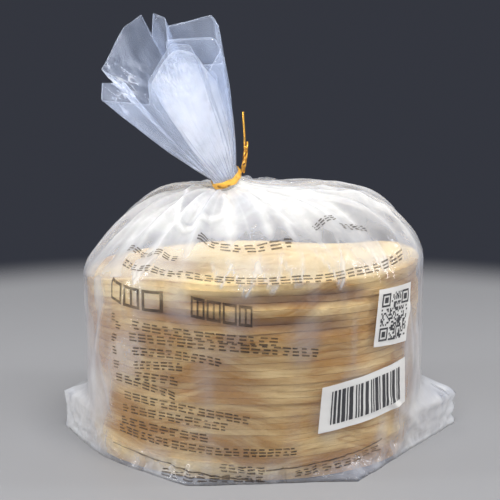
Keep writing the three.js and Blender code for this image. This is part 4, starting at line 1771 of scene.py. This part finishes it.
@dataclass
class TwistTie:
    """A golden ribbon over a wire: a band round the neck and two ends wound together above it."""

    form: BagForm
    width: float = 3.2
    edge: float = 0.32
    core: float = 0.8
    gap: float = 0.45
    tail: float = 28
    tail_width: float = 1.7
    stub: float = 14.5
    stub_width: float = 1.6
    stub_turn: float = 0.94
    twist_length: float = 13
    turns: float = 1.5
    azimuth: float = -14
    outward: float = 1.8
    lean_right: float = 1.6
    lean_front: float = 3.4
    sway: float = 0.9
    taper: float = 0.55
    apart: float = 0.62
    phase: float = 0.2
    around: int = 16
    band_columns: int = 96
    end_rows: int = 60

    def section(self, share: float, width: float) -> tuple[float, float]:
        """Return a point of the ribbon's section: flat wings with a round wire in the middle."""
        angle = TAU * share
        across = math.cos(angle)
        lens = abs(math.sin(angle)) ** 0.6 * math.copysign(1, math.sin(angle))
        height = lerp(self.edge, self.core, bell(across, 0.3)) / 2
        return across * width / 2, lens * height

    def band(self) -> bpy.types.Object:
        """Make the band round the neck."""
        form = self.form
        radius = form.neck_radius + self.gap + self.core / 2

        def place(across: float, up: float) -> Vector:
            azimuth = TAU * across
            wide, thin = self.section(-up, self.width)
            wobble = 0.25 * math.sin(3 * azimuth + 1) + 0.15 * math.sin(8 * azimuth)
            return form.ring(azimuth, radius + thin + 0.08 * math.sin(11 * azimuth), wide + wobble)

        def fold(across: float, up: float) -> float:
            return 0.35 * smooth(0.2, 0.7, swirl(TAU * across, 9, 0))

        piece = mapped_grid("tie_band", self.band_columns, self.around, place, {"fold": fold})
        merge_seams(piece)
        return piece

    def end(self, name: str, phase: float, length: float, width: float) -> bpy.types.Object:
        """Make one end of the tie.

        Args:
            name: the piece's name.
            phase: where round the other end it starts, in radians.
            length: how long it is.
            width: how wide its ribbon is.

        Returns:
            The piece, closed at both tips.
        """
        form = self.form
        foot = form.ring(math.radians(self.azimuth), form.neck_radius + self.gap + self.outward, 0)
        top = foot + Vector((self.lean_right, -self.lean_front, self.tail))
        up_way = (top - foot).normalized()
        side = (Vector((1, 0, 0)) - up_way * up_way.x).normalized()
        depth = up_way.cross(side)
        all_rows = self.end_rows + 2

        def wind(travel: float) -> float:
            return phase + TAU * self.turns * min(travel / self.twist_length, 1)

        def place(across: float, up: float) -> Vector:
            travel = length * clamp01((up * all_rows - 1) / self.end_rows)
            closing = 0.0 if up < 1e-6 or up > 1 - 1e-6 else 1.0
            along = side * math.sin(wind(travel)) - depth * math.cos(wind(travel))
            out = side * math.cos(wind(travel)) + depth * math.sin(wind(travel))
            sway = side * self.sway * math.sin(travel / 7)
            taper = lerp(1.0, self.taper, smooth(0.8, 1, travel / length))
            wide, thin = self.section(across, width * taper)
            centre = foot + up_way * travel + sway + out * self.apart
            return centre + (along * wide + out * thin) * closing

        def fold(across: float, up: float) -> float:
            return 0.9 * smooth(0.3, 0.95, abs(math.sin(wind(length * up))))

        piece = mapped_grid(name, self.around, all_rows, place, {"fold": fold})
        merge_seams(piece)
        return piece

    def build(self, material: bpy.types.Material) -> bpy.types.Object:
        """Make the tie as one piece and dress it."""
        pieces = [
            self.band(),
            self.end("long_end", self.phase, self.tail, self.tail_width),
            self.end("short_end", self.phase + self.stub_turn * math.pi, self.stub, self.stub_width),
        ]
        piece = join("twist_tie_ribbon", pieces)
        smooth_faces(piece, 60)
        finish_piece(piece, material, Node.TIE)
        return piece


# --- The studio ---------------------------------------------------------------------------------


@dataclass(frozen=True)
class SoftBox:
    """A rectangular lamp: its place and aim in metres, its size and its power in watts.

    A lamp that isn't mirrored lights the film without showing in its gloss. Spread is the angle
    that its light opens to.
    """

    name: str
    place: tuple[float, float, float]
    aim: tuple[float, float, float]
    width: float
    height: float
    power: float
    mirrored: bool = True
    spread: float = 180


@dataclass
class Studio:
    """A plain pale floor, a plain backdrop tone, soft lamps and the camera."""

    floor_radius: float = 0.47
    floor_fade: float = 0.12
    floor_tone: Colour = (0.3, 0.3, 0.31, 1)
    backdrop: Colour = (0.035, 0.038, 0.05, 1)
    camera_place: tuple[float, float, float] = (-0.00114, -0.6073, 0.1927)
    camera_pitch: float = -10.12
    focal_length: float = 96.4
    sensor_width: float = 36
    clear_bounces: int = 48
    lamps: tuple[SoftBox, ...] = (
        SoftBox("key", (0.05, -0.3, 0.85), (0, 0, 0.06), 0.5, 0.4, 8.0, mirrored=False),
        SoftBox("front", (-0.2, -1.3, 0.5), (0, 0, 0.06), 0.9, 0.7, 3.9, mirrored=False),
        SoftBox("left", (-0.8, -0.1, 0.3), (0, 0, 0.08), 0.6, 0.8, 3.0, mirrored=False),
        SoftBox("right", (0.8, 0.0, 0.35), (0, 0, 0.08), 0.6, 0.8, 2.8, mirrored=False),
        SoftBox("upper", (-0.12, -0.68, 0.2), (-0.032, -0.022, 0.158), 0.07, 0.07, 0.04, spread=14),
        SoftBox("left_strip", (-0.7, -0.15, 0.3), (0, 0, 0.08), 0.05, 0.7, 1.3),
        SoftBox("right_strip", (0.7, -0.05, 0.35), (0, 0, 0.08), 0.05, 0.7, 1.3),
        SoftBox("top_strip", (0.1, -0.5, 0.9), (0, 0, 0.1), 0.5, 0.05, 0.5),
        SoftBox("back", (-0.1, 0.6, 0.7), (0, 0, 0.12), 0.6, 0.25, 1.8, mirrored=False),
    )

    def add_floor(self) -> None:
        """Add the floor, whose edge fades into the backdrop."""
        deselect_all()
        bpy.ops.mesh.primitive_circle_add(vertices=96, radius=self.floor_radius, fill_type="NGON")
        floor = bpy.context.object
        floor.name = "floor"
        material, sketch, output = Sketch.material("floor")
        length = sketch.add("ShaderNodeVectorMath", operation="LENGTH")
        sketch.feed(length.inputs, [sketch.add("ShaderNodeTexCoord").outputs["Object"]])
        fade = sketch.over(
            "ShaderNodeMapRange",
            interpolation_type="SMOOTHSTEP",
            Value=length.outputs["Value"],
            From_Min=self.floor_radius - self.floor_fade,
            From_Max=self.floor_radius,
        )
        matt = sketch.over("ShaderNodeBsdfPrincipled", Base_Color=self.floor_tone, Roughness=0.6)
        clear = sketch.over("ShaderNodeBsdfTransparent")
        sketch.feed(output.inputs, [sketch.over("ShaderNodeMixShader", fade, matt, clear)])
        floor.data.materials.append(material)

    def add_world(self) -> None:
        """Set the plain backdrop tone."""
        world = bpy.data.worlds.new("studio")
        world.use_nodes = True
        world.node_tree.nodes["Background"].inputs["Color"].default_value = self.backdrop
        bpy.context.scene.world = world

    def add_lamps(self) -> None:
        """Add the soft lamps."""
        for box in self.lamps:
            bpy.ops.object.light_add(type="AREA", location=box.place)
            lamp = bpy.context.object
            lamp.name = box.name
            lamp.data.shape = "RECTANGLE"
            lamp.data.size, lamp.data.size_y = box.width, box.height
            lamp.data.energy = box.power
            lamp.data.spread = math.radians(box.spread)
            lamp.visible_glossy = box.mirrored
            aim = Vector(box.aim) - Vector(box.place)
            lamp.rotation_euler = aim.to_track_quat("-Z", "Y").to_euler()

    def add_camera(self) -> None:
        """Add the camera and make it the scene's."""
        tilt = math.radians(90 + self.camera_pitch)
        bpy.ops.object.camera_add(location=self.camera_place, rotation=(tilt, 0, 0))
        camera = bpy.context.object
        camera.data.lens = self.focal_length
        camera.data.sensor_width = self.sensor_width
        bpy.context.scene.camera = camera

    def build(self) -> None:
        """Make the whole studio."""
        self.add_floor()
        self.add_world()
        self.add_lamps()
        self.add_camera()
        scene = bpy.context.scene
        scene.view_settings.view_transform = "Standard"
        scene.cycles.transparent_max_bounces = self.clear_bounces


def main() -> None:
    """Build the bag, its contents, print and tie, and the studio round them."""
    logging.basicConfig(level=logging.INFO, format="%(name)s: %(message)s")
    form = BagForm()
    mottle = mottle_group()
    clear_film = FilmFinish("clear_film", mottle, thin=(0.72, 0.78, 0.95, 1)).build()
    ruffle_film = FilmFinish("ruffle_film", mottle, patches=0.2, ripple=0.03).build()
    core_film = FilmFinish(
        "core_film", mottle, thick=(0.94, 0.93, 0.94, 1), patches=0.3, patch_scale=60.0, ripple=0.2
    ).build()
    ink = PrintFinish("bag_ink", mottle, (0.05, 0.035, 0.028, 1), cover=0.8, worn=0.3).build()
    panel_ink = PrintFinish("panel_ink", mottle, (0.04, 0.04, 0.045, 1), cover=0.95, worn=0.1).build()
    white = PrintFinish("panel_white", mottle, (0.8, 0.79, 0.77, 1), cover=0.95, worn=0.08).build()

    film = FilmBody(form)
    film.build(clear_film)
    Ruffle(form).build(ruffle_film, core_film)
    TortillaStack(film).build(TortillaFinish(mottle).build())
    Print(film).build(ink)
    CodePanels(film).build(white, panel_ink)
    TwistTie(form).build(RibbonFinish(mottle).build())
    Studio().build()


if __name__ == "__main__":
    main()
